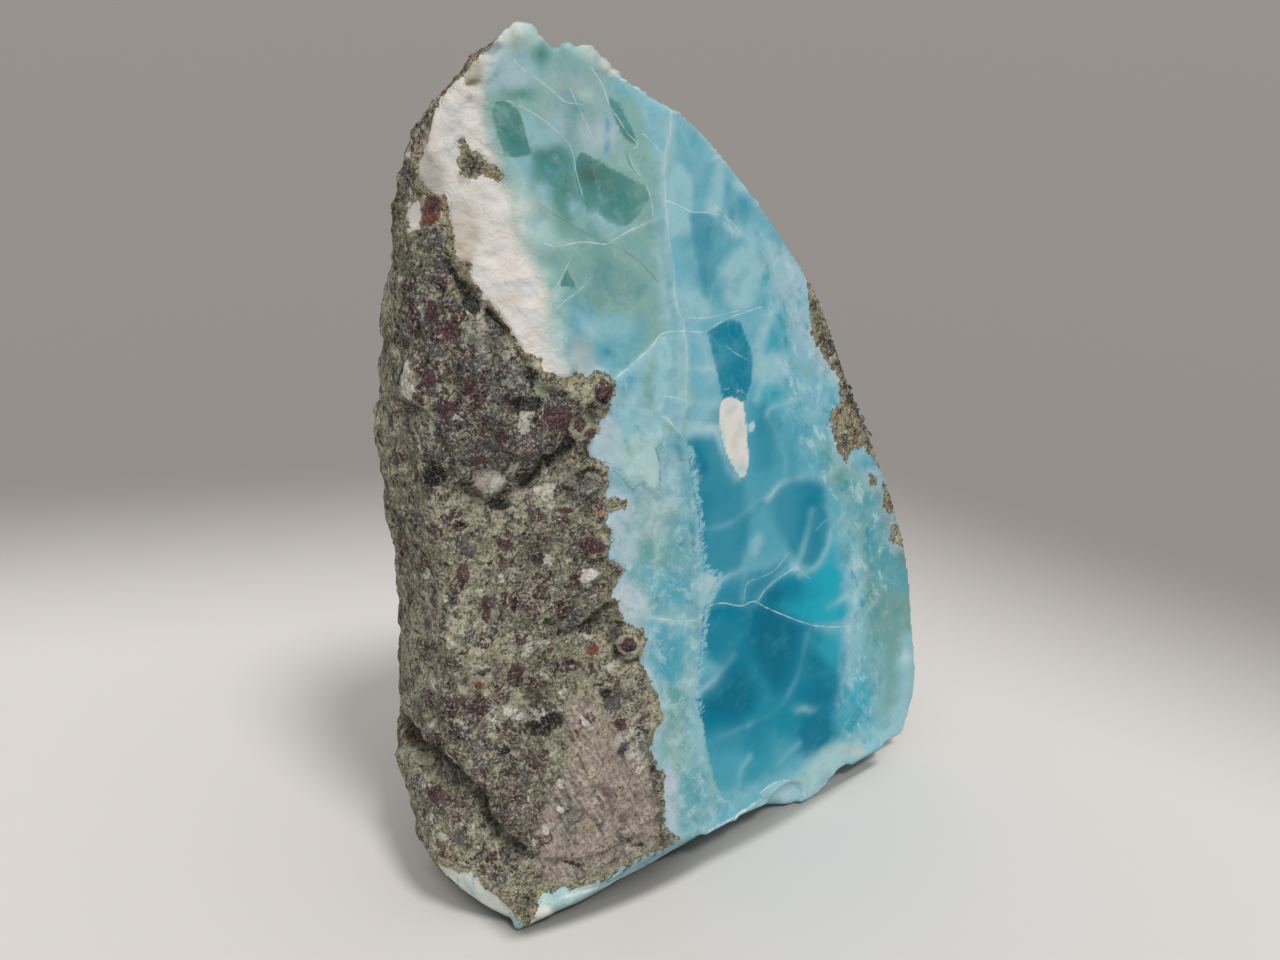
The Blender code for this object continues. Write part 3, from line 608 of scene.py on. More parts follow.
# Parts with a crisp edge, each over what lies under it: softness and raggedness of the edge in pixels,
# ground tone, outline, then its own spots.
OVERLAYS = {
    "green wedge": (
        1.2, 0.5, "jade",
        "492,112 496,102 504,101 511,105 518,110 523,122 527,140 531,154 516,158 505,155 499,138",
        (),
        (("jade_deep", 0.9, 506, 118, 14, 18, 0), ("jade_deep", 0.7, 516, 142, 10, 14, 0)),
        (),
    ),
    "dark block": (
        2.6, 0.6, "pool",
        "709,331 728,320 740,323 748,345 752,360 751,382 744,402 734,410 724,402 717,370",
        (),
        (
            ("deep", 0.8, 733, 332, 10, 10, 20), ("sea", 0.5, 724, 352, 9, 12, 0),
            ("deep", 0.8, 740, 378, 9, 18, 0), ("deep", 0.4, 726, 392, 10, 14, 0),
        ),
        (),
    ),
    "fibrous strip": (
        1.4, 3.6, "sky",
        "640,430 683,432 688,446 690,470 693,490 699,520 700,545 704,572 718,578 710,594 703,612 702,636 "
            "700,655 695,680 695,698 702,722 705,740 709,762 714,784 722,802 700,850 600,900 560,700 "
            "560,500",
        (
            ("celadon", 0.45, 6, "560,430 730,430 730,900 560,900"),
            ("mist", 0.7, 8, "664,452 700,450 706,520 706,572 688,560 670,500"),
            ("celadon", 0.9, 8, "636,500 676,496 684,560 668,570 640,560"),
            ("jade_light", 0.7, 6, "668,536 692,540 690,560 672,562"),
            ("azure", 0.6, 6, "646,566 668,572 672,592 654,592 648,584"),
            ("azure", 0.9, 6, "668,580 696,584 694,604 672,606"),
            ("pale", 0.6, 6, "690,576 706,572 722,578 712,592 704,608 696,600"),
            ("lavender", 0.65, 8, "600,486 626,494 636,530 634,560 618,560 606,530"),
            ("lavender", 0.9, 7, "608,566 640,590 648,614 626,622 610,600"),
            ("teal", 0.5, 5, "654,592 664,596 664,612 656,614"),
            ("azure", 0.8, 8, "656,628 698,632 702,668 672,690 652,660"),
            ("teal", 0.35, 6, "662,650 680,646 684,676 668,680"),
            ("celadon", 0.9, 8, "660,690 690,700 690,770 672,780 662,740"),
            ("mist", 0.6, 7, "690,670 706,660 704,760 690,770"),
            ("lavender", 0.35, 8, "640,470 676,450 678,520 660,540 640,530"),
            ("sea", 0.5, 9, "668,520 698,524 704,600 680,604 668,580 664,548"),
            ("sea", 0.4, 7, "664,444 690,440 696,500 672,500"),
            ("sea", 0.4, 8, "650,630 676,630 676,670 656,670"),
            ("beige", 0.2, 7, "686,640 700,640 698,690 684,690"),
            ("lavender", 1.0, 4, "662,776 674,772 676,800 672,832 664,822"),
            ("sea", 0.6, 6, "680,780 700,770 706,800 686,806"),
        ),
        (
            ("chalk", 0.9, 614, 598, 6, 5, 0), ("chalk", 0.9, 626, 609, 9, 6, 20),
            ("teal", 0.6, 679, 544, 4, 5, 0), ("azure", 0.5, 696, 480, 6, 20, 0),
            ("azure", 0.5, 692, 650, 8, 22, 0), ("pale", 0.6, 672, 480, 8, 20, 0),
        ),
        (
            ("pale", 0.7, 2.2, "648,618 662,619 676,623 690,622 702,616"),
            ("pale", 0.4, 2.0, "700,500 697,530 698,565"),
            ("pale", 0.4, 1.6, "691,505 689,535 692,560"),
        ),
    ),
    "dark green": (
        1.2, 0.8, "jade",
        "580,152 592,157 606,166 620,173 632,180 644,186 650,198 640,212 632,222 624,226 608,222 598,212 "
            "588,214 582,200 578,184 576,172 577,160",
        (),
        (
            ("jade_deep", 1.0, 596, 176, 22, 20, 25), ("jade_deep", 0.5, 620, 200, 16, 16, 0),
            ("bark", 0.45, 594, 174, 18, 12, 25), ("celadon", 0.4, 640, 190, 8, 8, 0),
            ("mist", 0.75, 606, 224, 14, 6, 15), ("mist", 0.6, 592, 214, 8, 6, 0),
        ),
        (),
    ),
    "green splinter": (
        0.9, 0.3, "jade",
        "611,98 618,104 624,116 631,128 638,144 630,142 622,134 616,120 609,104",
        (),
        (("jade_deep", 1.0, 626, 134, 8, 8, 0),),
        (),
    ),
    "green triangle": (
        0.9, 0.3, "jade",
        "567,268 570,276 576,287 560,286 563,278",
        (),
        (("jade_deep", 0.4, 568, 282, 5, 5, 0),),
        (),
    ),
    "flaked shell": (
        0.6, 0.8, "mist",
        "560,470 585,460 598,458 608,466 619,471 633,487 641,481 650,489 657,491 659,470 655,447 662,440 "
            "663,416 667,397 671,370 672,350 664,334 652,345 629,366 617,376 600,388 570,400",
        (
            ("lavender", 0.8, 8, "580,410 614,410 618,462 590,470"),
            ("frost", 0.7, 8, "622,440 650,430 662,450 656,492 630,486"),
        ),
        (
            ("azure", 0.95, 628, 380, 16, 14, -30), ("sea", 0.6, 622, 384, 9, 6, -30),
            ("celadon", 0.9, 650, 385, 7, 40, 4), ("mist", 0.8, 662, 370, 6, 34, 2),
            ("celadon", 0.5, 628, 450, 10, 8, 0),
        ),
        (),
    ),
    "shards": (
        0.6, 0.5, "mist",
        "664,398 686,396 684,418 681,434 672,424 662,420",
        (),
        (("sky", 0.7, 670, 404, 6, 6, 0),),
        (),
    ),
    "white inclusion": (
        1.0, 0.8, "chalk",
        "722,401 727,397 737,399 742,403 746,422 748,441 749,464 746,476 741,478 736,470 728,454 722,436 "
            "719,420 720,408",
        (),
        (
            ("mist", 0.5, 724, 440, 4, 16, -15), ("beige", 0.4, 738, 440, 5, 16, 0),
            ("mist", 0.6, 742, 468, 8, 10, 0),
        ),
        (),
    ),
    "satellite": (
        1.4, 1.0, "pale",
        "749,424 753,421 756,426 754,431 749,432",
        (),
        (),
        (),
    ),
    "chip": (
        0.9, 0.4, "mist",
        "760,794 768,786 778,781 791,781 800,786 805,795 806,806 790,812 770,806",
        (),
        (("celadon", 0.8, 768, 797, 6, 5, 0), ("pale", 0.8, 788, 792, 12, 6, 0)),
        (),
    ),
}

# Lines through the vein: channel, half width in pixels, strength (negative for a dark line: a stain, and at
# the edge of the flaked shell a painted shadow), then the line itself.
# Lines of one channel never meet.
LINES = (
    (0, 1.0, 0.6, "606,68 613,74 626,82 640,90 654,98 668,107"),
    (0, 0.65, 0.6, "652,618 672,620 693,621 702,616 706,609 712,605 724,603 741,606 754,601 765,607 "
        "786,616 808,624 828,627 849,626"),
    (1, 0.8, 0.5, "758,601 765,590 778,579 796,567"),
    (2, 0.7, 0.3, "797,568 803,573 808,577"),
    (1, 0.7, 0.3, "787,555 775,570 762,577 747,583 744,600"),
    (2, 0.6, 0.2, "829,519 822,523 816,531"),
    (1, 0.6, 0.35, "706,212 722,216 732,222 740,232"),
    (2, 0.6, 0.3, "716,206 726,216 731,228 733,238"),
    (0, 0.7, 0.6, "684,331 705,332 713,327 728,318 740,314 761,307"),
    (1, 0.7, 0.45, "692,318 706,318 725,314 738,311"),
    (2, 0.7, 0.4, "726,346 737,354 750,361"),
    (2, 0.7, -0.3, "687,418 704,420 720,420"),
    (0, 0.7, 0.55, "665,200 680,206 692,212 706,212"),
    (0, 0.8, 0.6, "544,243 552,246 558,247 574,243 587,242 606,244 617,238 629,231 643,225 655,219"),
    (1, 0.9, -0.5, "540,205 560,218 581,230 598,240 614,246 632,256 645,267 657,281"),
    (2, 0.7, 0.45, "497,100 508,101 520,106 538,116 556,130 568,142 574,158 576,172 582,194 585,207"),
    (1, 0.7, 0.5, "515,62 524,70 542,82 556,94 566,102 580,104"),
    (1, 0.65, 0.5, "592,69 602,84 609,104 618,118 628,134 639,145 630,151 634,168 644,180 651,198 "
        "653,214"),
    (2, 0.8, -0.6, "614,116 622,128 634,143"),
    (2, 0.9, -0.7, "626,154 631,166 640,178"),
    # the ridge where the two polished sides meet: a pale seam with a painted highlight on the edge
    (2, 0.6, 0.3, "672,104 670,134 665,153 664,172 665,191 667,220 670,249 674,270 675,298 684,326 "
        "687,355 687,374"),
    (0, 0.7, 0.5, "644,134 652,142 662,154"),
    (2, 0.7, 0.45, "570,88 576,102 582,114 590,132"),
    (2, 0.7, 0.4, "558,284 567,267 572,252"),
    (1, 0.7, 0.45, "556,309 566,300 580,290 590,278"),
    (0, 0.7, 0.6, "617,376 629,366 640,356 652,345 663,333 683,331"),
    (2, 0.7, 0.5, "667,396 684,400"),
    (2, 0.8, 0.6, "662,416 668,419 674,427 681,434"),
    (0, 0.8, 0.6, "598,460 608,468 619,472 633,488 641,482 650,490 657,492"),
    # a painted shadow along the edge of the flaked shell
    (2, 0.9, -0.75, "655,448 658,456 660,468 660,480"),
    (0, 1.5, 0.9, "560,896 600,884 636,866 660,853 682,842 700,834 722,822 745,810 760,800"),
    (0, 1.2, 0.6, "806,800 822,790 846,768 870,752"),
    (1, 0.8, 0.6, "760,793 769,786 779,781 791,781 801,787 805,796"),
)

# The part of the basalt that looks fibrous.
FIBROUS_BASALT = (
    "562,704 590,702 626,736 650,770 656,820 650,846 "
    "600,866 552,884 536,850 548,800 566,760"
)

# Tones of the basalt in the view, laid over its random ground.
BASALT_WASHES = (
    ("slate", 0.85, 7, "402,300 420,272 452,276 474,296 500,326 522,356 548,382 580,388 594,404 592,428 "
        "570,452 548,462 520,486 490,500 462,486 440,470 420,440 410,380"),
    ("maroon", 0.75, 9, "408,310 440,300 470,330 470,400 440,430 415,400"),
    ("maroon", 0.6, 8, "470,405 510,420 560,400 586,408 574,440 520,460 470,440"),
    ("moss", 0.7, 5, "400,238 442,236 448,262 420,276 398,272"),
    ("sand", 0.8, 4, "446,268 466,284 486,308 506,328 500,338 470,308 450,286"),
    # the brown seam beside the rough white part, with painted shade darkening its hollow towards black
    ("bark", 0.9, 3, "444,226 450,250 466,272 486,298 504,322 516,342 502,338 480,314 462,294 448,270"),
    ("soot", 0.6, 3, "450,262 466,284 484,304 498,324 490,322 470,300 452,276"),
    ("olive", 0.8, 3, "458,258 468,258 468,274 460,274"),
    ("olive", 0.8, 3, "504,334 520,348 532,360 524,364 510,350"),
    ("sand", 0.8, 4, "536,372 560,380 590,380 600,400 590,424 580,400 548,388"),
    ("ash", 0.75, 4, "402,356 412,362 420,388 410,402 402,384"),
    ("ash", 0.6, 5, "470,318 486,330 492,350 476,352 468,336"),
    ("ash", 0.95, 2, "474,476 486,470 500,476 508,482 500,490 490,499 480,490"),
    ("ash", 0.6, 6, "528,484 556,478 570,494 556,512 534,508"),
    # painted shadow: a black line under the ledge at the lower right of the dark block
    ("soot", 0.8, 4, "536,466 548,456 560,452 556,462 544,472"),
    ("sand", 0.5, 12, "420,500 520,496 560,540 520,600 440,600"),
    ("moss", 0.5, 10, "530,540 606,540 604,600 560,640 530,600"),
    ("maroon", 0.6, 6, "572,534 606,532 606,552 584,556"),
    ("chalk", 0.9, 2, "578,572 594,566 598,572 588,580 580,580"),
    ("maroon", 0.85, 3, "622,636 638,632 642,640 634,654 624,652 618,646"),
    ("taupe", 0.7, 2, "624,636 641,630 642,633 626,640"),
    ("slate", 0.5, 7, "560,610 604,600 612,624 590,634 564,626"),
    ("rust", 0.5, 4, "584,648 596,644 604,652 594,658"),
    ("taupe", 0.9, 6, FIBROUS_BASALT),
    ("soot", 0.85, 3, "520,718 530,714 542,722 550,712 560,712 558,730 540,738 524,736"),
    ("ash", 0.85, 3, "506,710 520,706 530,702 544,712 540,722 524,722 512,718"),
    ("maroon", 0.5, 8, "430,690 470,700 490,740 470,750 440,730"),
    ("maroon", 0.5, 9, "490,750 530,746 545,790 530,830 500,820 492,780"),
    # painted shade: the dark band along the groove above the bulge at the lower left
    ("moss", 0.7, 4, "404,728 432,752 462,784 488,810 500,838 490,838 456,792 424,756"),
    ("sand", 0.6, 5, "408,742 424,756 436,776 420,790 406,770"),
    ("maroon", 0.5, 6, "424,780 450,786 456,812 436,820 424,802"),
    ("beige", 0.5, 4, "560,880 610,862 660,840 680,838 640,862 590,888 545,896"),
    ("sand", 0.6, 6, "440,820 480,800 500,850 480,870 450,860"),
    ("soot", 0.6, 6, "424,462 446,460 452,482 438,494 422,484"),
    ("maroon", 0.6, 7, "424,330 450,326 456,360 446,384 428,372"),
    ("maroon", 0.5, 7, "448,396 470,400 476,440 458,450 446,424"),
    ("soot", 0.8, 4, "506,392 536,386 548,398 538,414 520,416 506,406"),
    ("maroon", 0.5, 5, "490,500 512,498 514,510 494,514"),
    ("maroon", 0.5, 6, "440,540 462,540 464,558 444,560"),
    ("maroon", 0.5, 6, "498,554 526,556 524,576 500,576"),
    ("maroon", 0.6, 6, "584,576 602,574 602,598 586,598"),
    ("maroon", 0.6, 6, "532,656 552,654 556,680 538,684"),
    ("maroon", 0.6, 6, "446,800 472,796 470,826 450,828"),
    ("slate", 0.6, 6, "554,780 572,780 580,836 564,846 556,810"),
    ("maroon", 0.4, 6, "590,786 612,790 614,812 596,812"),
    ("maroon", 0.5, 6, "494,736 512,736 512,752 496,754"),
    ("maroon", 0.5, 6, "418,700 436,698 436,720 420,722"),
    ("maroon", 0.5, 6, "426,750 446,758 446,776 430,772"),
    ("sand", 0.6, 6, "412,398 432,398 434,424 416,424"),
    ("sand", 0.6, 6, "494,530 514,530 512,550 496,550"),
    ("sand", 0.6, 7, "530,590 552,590 552,612 532,612"),
    ("sand", 0.5, 7, "446,650 474,650 472,672 448,672"),
    ("ash", 0.7, 5, "576,476 606,472 606,500 586,504"),
    ("ash", 0.8, 5, "616,728 654,722 654,762 636,766 622,756"),
    ("soot", 0.4, 8, "540,514 576,512 572,546 530,560 520,540"),
    ("rust", 0.4, 5, "436,846 460,850 456,868 440,866"),
    ("bark", 0.7, 3, "444,196 452,200 456,246 448,250"),
    ("sand", 0.6, 6, "470,754 492,754 490,776 472,776"),
    ("sand", 0.5, 6, "590,640 620,640 622,660 594,662"),
    ("rust", 0.6, 2, "418,196 424,190 440,190 444,204 440,224 428,226 420,214"),
    ("maroon", 0.8, 2, "424,190 440,190 444,204 436,200 428,200"),
    ("olive", 0.5, 2, "424,206 438,202 440,218 428,216"),
    ("rust", 0.5, 3, "468,54 476,50 470,60 462,66"),
    ("rust", 0.5, 3, "442,92 452,88 448,98 442,102"),
    # painted shade: the basalt along the right-hand edge, turned away from the light, is darkened towards
    # black
    ("soot", 0.5, 4, "804,262 820,280 850,352 880,420 912,520 912,548 880,500 840,450 820,360 806,310"),
    ("maroon", 0.5, 5, "838,380 866,400 884,450 866,450 846,410"),
    ("olive", 0.7, 3, "832,412 846,406 860,418 866,440 852,450 840,446"),
    ("soot", 0.7, 3, "840,376 852,372 868,414 874,432 864,424 850,408"),
    ("soot", 0.6, 3, "838,434 846,434 846,446 838,446"),
    ("soot", 0.6, 3, "884,488 890,488 900,512 892,508"),
    ("olive", 0.8, 2, "898,526 908,532 908,544 900,538"),
    ("olive", 0.6, 3, "814,286 824,300 832,330 822,334 814,310"),
)

# Maroon grains that catch the eye: middle, half width, half height, lean in degrees.
PLACED_GRAINS = (
    (458, 585, 7, 13, 15), (487, 616, 6, 11, 0), (514, 676, 10, 12, -10), (532, 682, 9, 10, 0),
    (568, 663, 13, 9, 0), (603, 390, 10, 11, 0), (581, 425, 9, 8, 0), (592, 434, 7, 6, 0),
    (478, 683, 6, 4, 0), (505, 598, 8, 9, 20), (520, 586, 8, 10, 0), (561, 607, 13, 10, -20),
    (619, 721, 7, 5, -20), (600, 470, 9, 5, 20), (430, 700, 6, 10, 10), (446, 626, 5, 6, 0),
    (500, 560, 6, 10, 20), (540, 560, 7, 7, 0), (562, 522, 11, 8, 0), (485, 645, 6, 8, 0),
    (594, 548, 14, 9, 10), (628, 641, 10, 11, 0), (452, 520, 10, 14, 0), (604, 699, 6, 6, 0),
    (614, 706, 6, 5, 0), (478, 704, 12, 13, 0), (548, 648, 8, 6, 0), (424, 560, 6, 14, 10),
    (436, 742, 16, 14, 30), (540, 516, 9, 7, 0), (430, 650, 8, 10, 0), (500, 726, 8, 6, 0),
    (455, 700, 10, 12, 0), (520, 640, 6, 6, 0), (412, 600, 5, 12, 5),
)

# Pieces in the basalt that catch the eye: tone, middle, half width, half height, lean in degrees.
PIECES = (
    ("soot", 402, 374, 3, 13, 5), ("ash", 408, 372, 4, 12, 10), ("ash", 412, 391, 5, 8, 20),
    ("ash", 431, 427, 3, 8, -10), ("lichen", 470, 337, 7, 8, 30), ("lichen", 464, 324, 5, 4, 0),
    ("lichen", 504, 355, 5, 4, 0), ("lichen", 507, 384, 7, 4, 10), ("ash", 524, 426, 6, 9, -10),
    ("beige", 484, 484, 9, 9, 0), ("ash", 499, 484, 8, 9, 20), ("ash", 545, 490, 11, 6, -20),
    ("ash", 545, 470, 4, 4, 0), ("lichen", 541, 388, 7, 8, 0), ("lichen", 553, 390, 9, 6, 0),
    ("sand", 535, 368, 8, 8, 20), ("maroon", 432, 312, 6, 13, 0), ("maroon", 451, 330, 9, 9, 0),
    ("maroon", 447, 410, 7, 9, 0), ("maroon", 567, 511, 8, 3, 0), ("maroon", 557, 416, 14, 11, 0),
    ("maroon", 514, 402, 8, 6, 0), ("maroon", 470, 386, 6, 9, 0), ("slate", 490, 446, 9, 8, 0),
    ("maroon", 500, 440, 6, 8, 0), ("maroon", 478, 462, 8, 5, 0), ("maroon", 430, 378, 6, 10, 0),
    ("soot", 527, 403, 16, 8, 0), ("soot", 530, 373, 8, 7, 30), ("soot", 587, 471, 11, 3, -20),
    ("soot", 499, 505, 12, 6, 0), ("soot", 472, 304, 8, 12, -35), ("soot", 436, 476, 12, 9, 0),
    ("sand", 585, 427, 17, 12, 20), ("maroon", 580, 422, 7, 7, 0), ("maroon", 592, 433, 6, 5, 0),
    ("maroon", 603, 393, 8, 9, 0), ("soot", 602, 398, 5, 4, 0), ("salmon", 600, 513, 5, 4, 0),
    ("rust", 432, 209, 9, 15, 8), ("maroon", 434, 205, 6, 11, 8), ("ash", 412, 156, 5, 4, 0),
    ("rust", 467, 57, 5, 3, -40), ("rust", 445, 95, 4, 4, 0), ("bark", 416, 174, 3, 7, 0),
    ("rust", 405, 735, 3, 4, 0), ("sand", 425, 758, 9, 6, 40), ("maroon", 440, 795, 8, 9, 0),
    ("slate", 460, 835, 5, 8, 0), ("soot", 505, 750, 6, 4, -30), ("soot", 548, 717, 10, 5, -20),
    ("soot", 534, 724, 7, 4, 20), ("soot", 440, 745, 3, 3, 0), ("soot", 570, 660, 4, 3, 0),
    ("ash", 508, 709, 8, 5, 20), ("ash", 521, 716, 5, 4, 0), ("chalk", 585, 722, 3, 9, -35),
    ("ash", 630, 755, 5, 4, 0), ("ash", 640, 770, 4, 4, 0), ("ash", 560, 785, 4, 4, 0),
    ("sand", 590, 775, 4, 3, 0), ("ash", 545, 830, 4, 4, 0), ("ash", 560, 810, 4, 3, 0),
    ("olive", 590, 830, 5, 4, 0), ("ash", 630, 850, 5, 3, -20), ("rust", 478, 683, 5, 3, 0),
    ("rust", 592, 650, 7, 4, 0), ("sand", 628, 644, 12, 10, 0), ("maroon", 628, 644, 9, 7, 0),
    ("soot", 629, 648, 4, 3, 0), ("soot", 575, 864, 14, 1.8, 5), ("soot", 640, 846, 6, 1.6, -10),
    ("chalk", 586, 573, 8, 6, -10), ("ash", 446, 598, 3, 4, 0), ("sand", 476, 650, 8, 4, 0),
    ("maroon", 516, 668, 8, 8, 0), ("maroon", 486, 604, 6, 9, 0), ("maroon", 463, 574, 6, 11, 0),
    ("ash", 500, 577, 3, 6, 0), ("ash", 452, 640, 3, 4, 0), ("maroon", 478, 706, 9, 7, 0),
    ("slate", 610, 704, 8, 7, 0), ("soot", 604, 692, 6, 5, 0), ("maroon", 620, 724, 6, 5, 0),
    ("maroon", 505, 545, 8, 6, 10), ("maroon", 592, 545, 12, 8, 10), ("slate", 468, 552, 8, 6, 0),
    ("ash", 548, 560, 4, 4, 0),
)

# The crest and the lower edge stand out a little more than the solid: height in mm, half width in pixels,
# then the line.
CREST = (
    (0.75, 15, "516,30 530,26"),
    (0.8, 8, "562,46 573,46"),
    (0.35, 5, "602,63 607,67"),
    (0.3, 4, "614,71 619,75"),
    (0.3, 4, "626,79 632,81"),
    (0.3, 5, "646,88 652,90"),
    (0.3, 4, "754,203 756,206"),
    (0.5, 8, "552,903 580,893 600,884 640,866 680,844 720,827 736,820"),
    (1.4, 8, "518,917 530,911 545,904"),
    (0.5, 5, "850,762 868,750 880,744"),
)

# Hollows and ridges of the basalt: depth in mm (negative for a ridge), half width in pixels, then the line. A
# hollow also gets painted shade, and a ridge less of it.
HOLLOWS = (
    (1.5, 6, "404,722 414,734 436,755 458,775 478,794 489,818 508,842 520,852"),
    (-0.9, 13, "410,752 428,782 450,812 478,850"),
    (-0.5, 10, "440,730 468,756 496,786 512,816"),
    (1.2, 4, "572,440 560,452 548,462 536,474 524,486"),
    (0.9, 4, "508,490 500,498 488,503 474,498 462,486"),
    (-0.7, 11, "520,452 552,434 578,410 588,392"),
    (-0.6, 9, "602,384 604,396"),
    (0.9, 4, "594,404 590,412 600,420"),
    (0.8, 3.5, "592,440 586,452 598,458"),
    (-0.6, 8, "600,462 606,478"),
    (0.9, 3.5, "600,492 592,502 588,516"),
    (0.9, 4, "548,624 566,632 584,628 602,614 612,606"),
    (0.7, 3.5, "604,558 590,562 576,560"),
    (-0.5, 7, "578,574 596,572"),
    (0.8, 3.5, "616,632 614,650 626,662 642,660"),
    (-0.5, 6, "622,640 634,646"),
    (0.8, 5, "524,726 540,734 556,722"),
    (-0.6, 7, "500,712 522,704 540,710"),
    (0.6, 3.5, "448,262 466,286 488,312 508,336 528,364"),
    (0.7, 4, "534,382 548,392 566,396"),
    (0.5, 3.0, "656,770 654,800 660,826"),
    (0.5, 3.5, "500,850 540,862 590,858 640,838"),
    (0.6, 5, "420,410 440,440 452,476"),
    (0.5, 4, "408,300 420,330 424,360"),
)


# The mesh.


def cad_mesh():
    """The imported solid's corners in mm and its faces, welded."""
    mesh = bmesh.new()
    mesh.from_mesh(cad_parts[NODE].data)
    bmesh.ops.scale(mesh, vec=Vector((1 / MM,) * 3), verts=mesh.verts)
    bmesh.ops.remove_doubles(mesh, verts=mesh.verts, dist=0.001)
    return mesh


def even_mesh(mesh, step):
    """The same solid with an even mesh of that step in mm."""
    data = bpy.data.meshes.new("even")
    mesh.to_mesh(data)
    piece = bpy.data.objects.new("even", data)
    bpy.context.scene.collection.objects.link(piece)
    remesh = piece.modifiers.new("even", "REMESH")
    remesh.mode = "VOXEL"
    remesh.voxel_size = step
    evaluated = piece.evaluated_get(bpy.context.evaluated_depsgraph_get())
    even = bmesh.new()
    even.from_mesh(evaluated.to_mesh())
    evaluated.to_mesh_clear()
    bpy.data.objects.remove(piece)
    bpy.data.meshes.remove(data)
    return even


def refine_front(mesh):
    """Halves the mesh's step where it faces the camera."""
    mesh.normal_update()
    place = Vector(CAMERA_PLACE)
    edges = set()
    for face in mesh.faces:
        middle = face.calc_center_median()
        if face.normal.dot((place - middle).normalized()) > FACING:
            edges.update(face.edges)
    bmesh.ops.subdivide_edges(mesh, edges=list(edges), cuts=1, use_grid_fill=True)


def arrays_of(mesh):
    """A mesh datablock's corner places, normals and edges."""
    count = len(mesh.vertices)
    places, normals = np.zeros(count * 3), np.zeros(count * 3)
    ends = np.zeros(len(mesh.edges) * 2, np.int32)
    mesh.vertices.foreach_get("co", places)
    mesh.vertex_normals.foreach_get("vector", normals)
    mesh.edges.foreach_get("vertices", ends)
    return places.reshape(-1, 3), normals.reshape(-1, 3), ends.reshape(-1, 2)


def relax(values, ends, rounds, share):
    """Moves each value towards the mean of its neighbours, by that share of the way."""
    a, b = ends.T
    count = np.maximum(np.bincount(a, minlength=len(values)) + np.bincount(b, minlength=len(values)), 1)
    for _ in range(rounds):
        if values.ndim == 1:
            total = np.bincount(a, values[b], len(values)) + np.bincount(b, values[a], len(values))
            values = values + share * (total / count - values)
        else:
            sums = [np.bincount(a, v[b], len(values)) + np.bincount(b, v[a], len(values)) for v in values.T]
            total = np.stack(sums, axis=1)
            values = values + np.broadcast_to(share, len(values))[:, None] * (total / count[:, None] - values)
    return values


def put(mesh, places):
    """Writes corner places back to a mesh datablock."""
    mesh.vertices.foreach_set("co", places.astype(np.float32).ravel())
    mesh.update()


def seen_by_camera(solid, places, normals):
    """True where nothing of the solid stands between a point and the camera."""
    tree = BVHTree.FromBMesh(solid)
    eye = Vector(CAMERA_PLACE)
    forward, outward = SIGHT_START
    seen = np.einsum("ij,ij->i", normals, np.array(CAMERA_PLACE) - places) > 0.0
    for k in np.flatnonzero(seen):
        start = Vector(places[k])
        way = (eye - start).normalized()
        hit = tree.ray_cast(start + way * forward + Vector(normals[k]) * outward, way)
        if hit[0] is not None:
            seen[k] = False
    return seen


def facet_depth(places):
    """Depth in mm behind the two polished planes, whichever is less."""
    a, b, c = (np.array(p) for p in FACET_POINTS)
    normal = np.cross(b - a, c - a)
    normal /= np.linalg.norm(normal)
    if normal[1] > 0:
        normal = -normal
    return np.minimum(places[:, 1] - POLISHED_Y, (a - places) @ normal)


def basalt_edge(places, uv, seen):
    """Distance to the basalt's edge, in pixels of the view: positive in the basalt, negative in the vein.

    Where the view doesn't reach, the vein is a layer of some mm behind the polished sides.
    """
    edge = within(uv, BASALT)
    for bit in BASALT_BITS:
        edge = np.maximum(edge, within(uv, bit))
    edge = np.minimum(edge, -within(uv, WHITE_IN_BASALT))
    thickness = 6.5 + 2.2 * layered(places, 14.0, 3, 71) - 3.5 * smooth(12.0, 26.0, places[:, 0])
    thickness += 3.5 * smooth(92.0, 104.0, places[:, 2])
    thickness *= smooth(-26.0, -14.0, places[:, 0])
    hidden = (facet_depth(places) - thickness) * HIDDEN_PIXELS
    return np.clip(np.where(seen, edge, hidden), -FAR, FAR)


def in_ellipse(away, wide, high, lean):
    """Where places lie along the two axes of a leaning ellipse; 1 is its edge."""
    turn = math.radians(lean)
    x, y = away.T
    across = (x * math.cos(turn) + y * math.sin(turn)) / wide
    down = (-x * math.sin(turn) + y * math.cos(turn)) / high
    return across, down


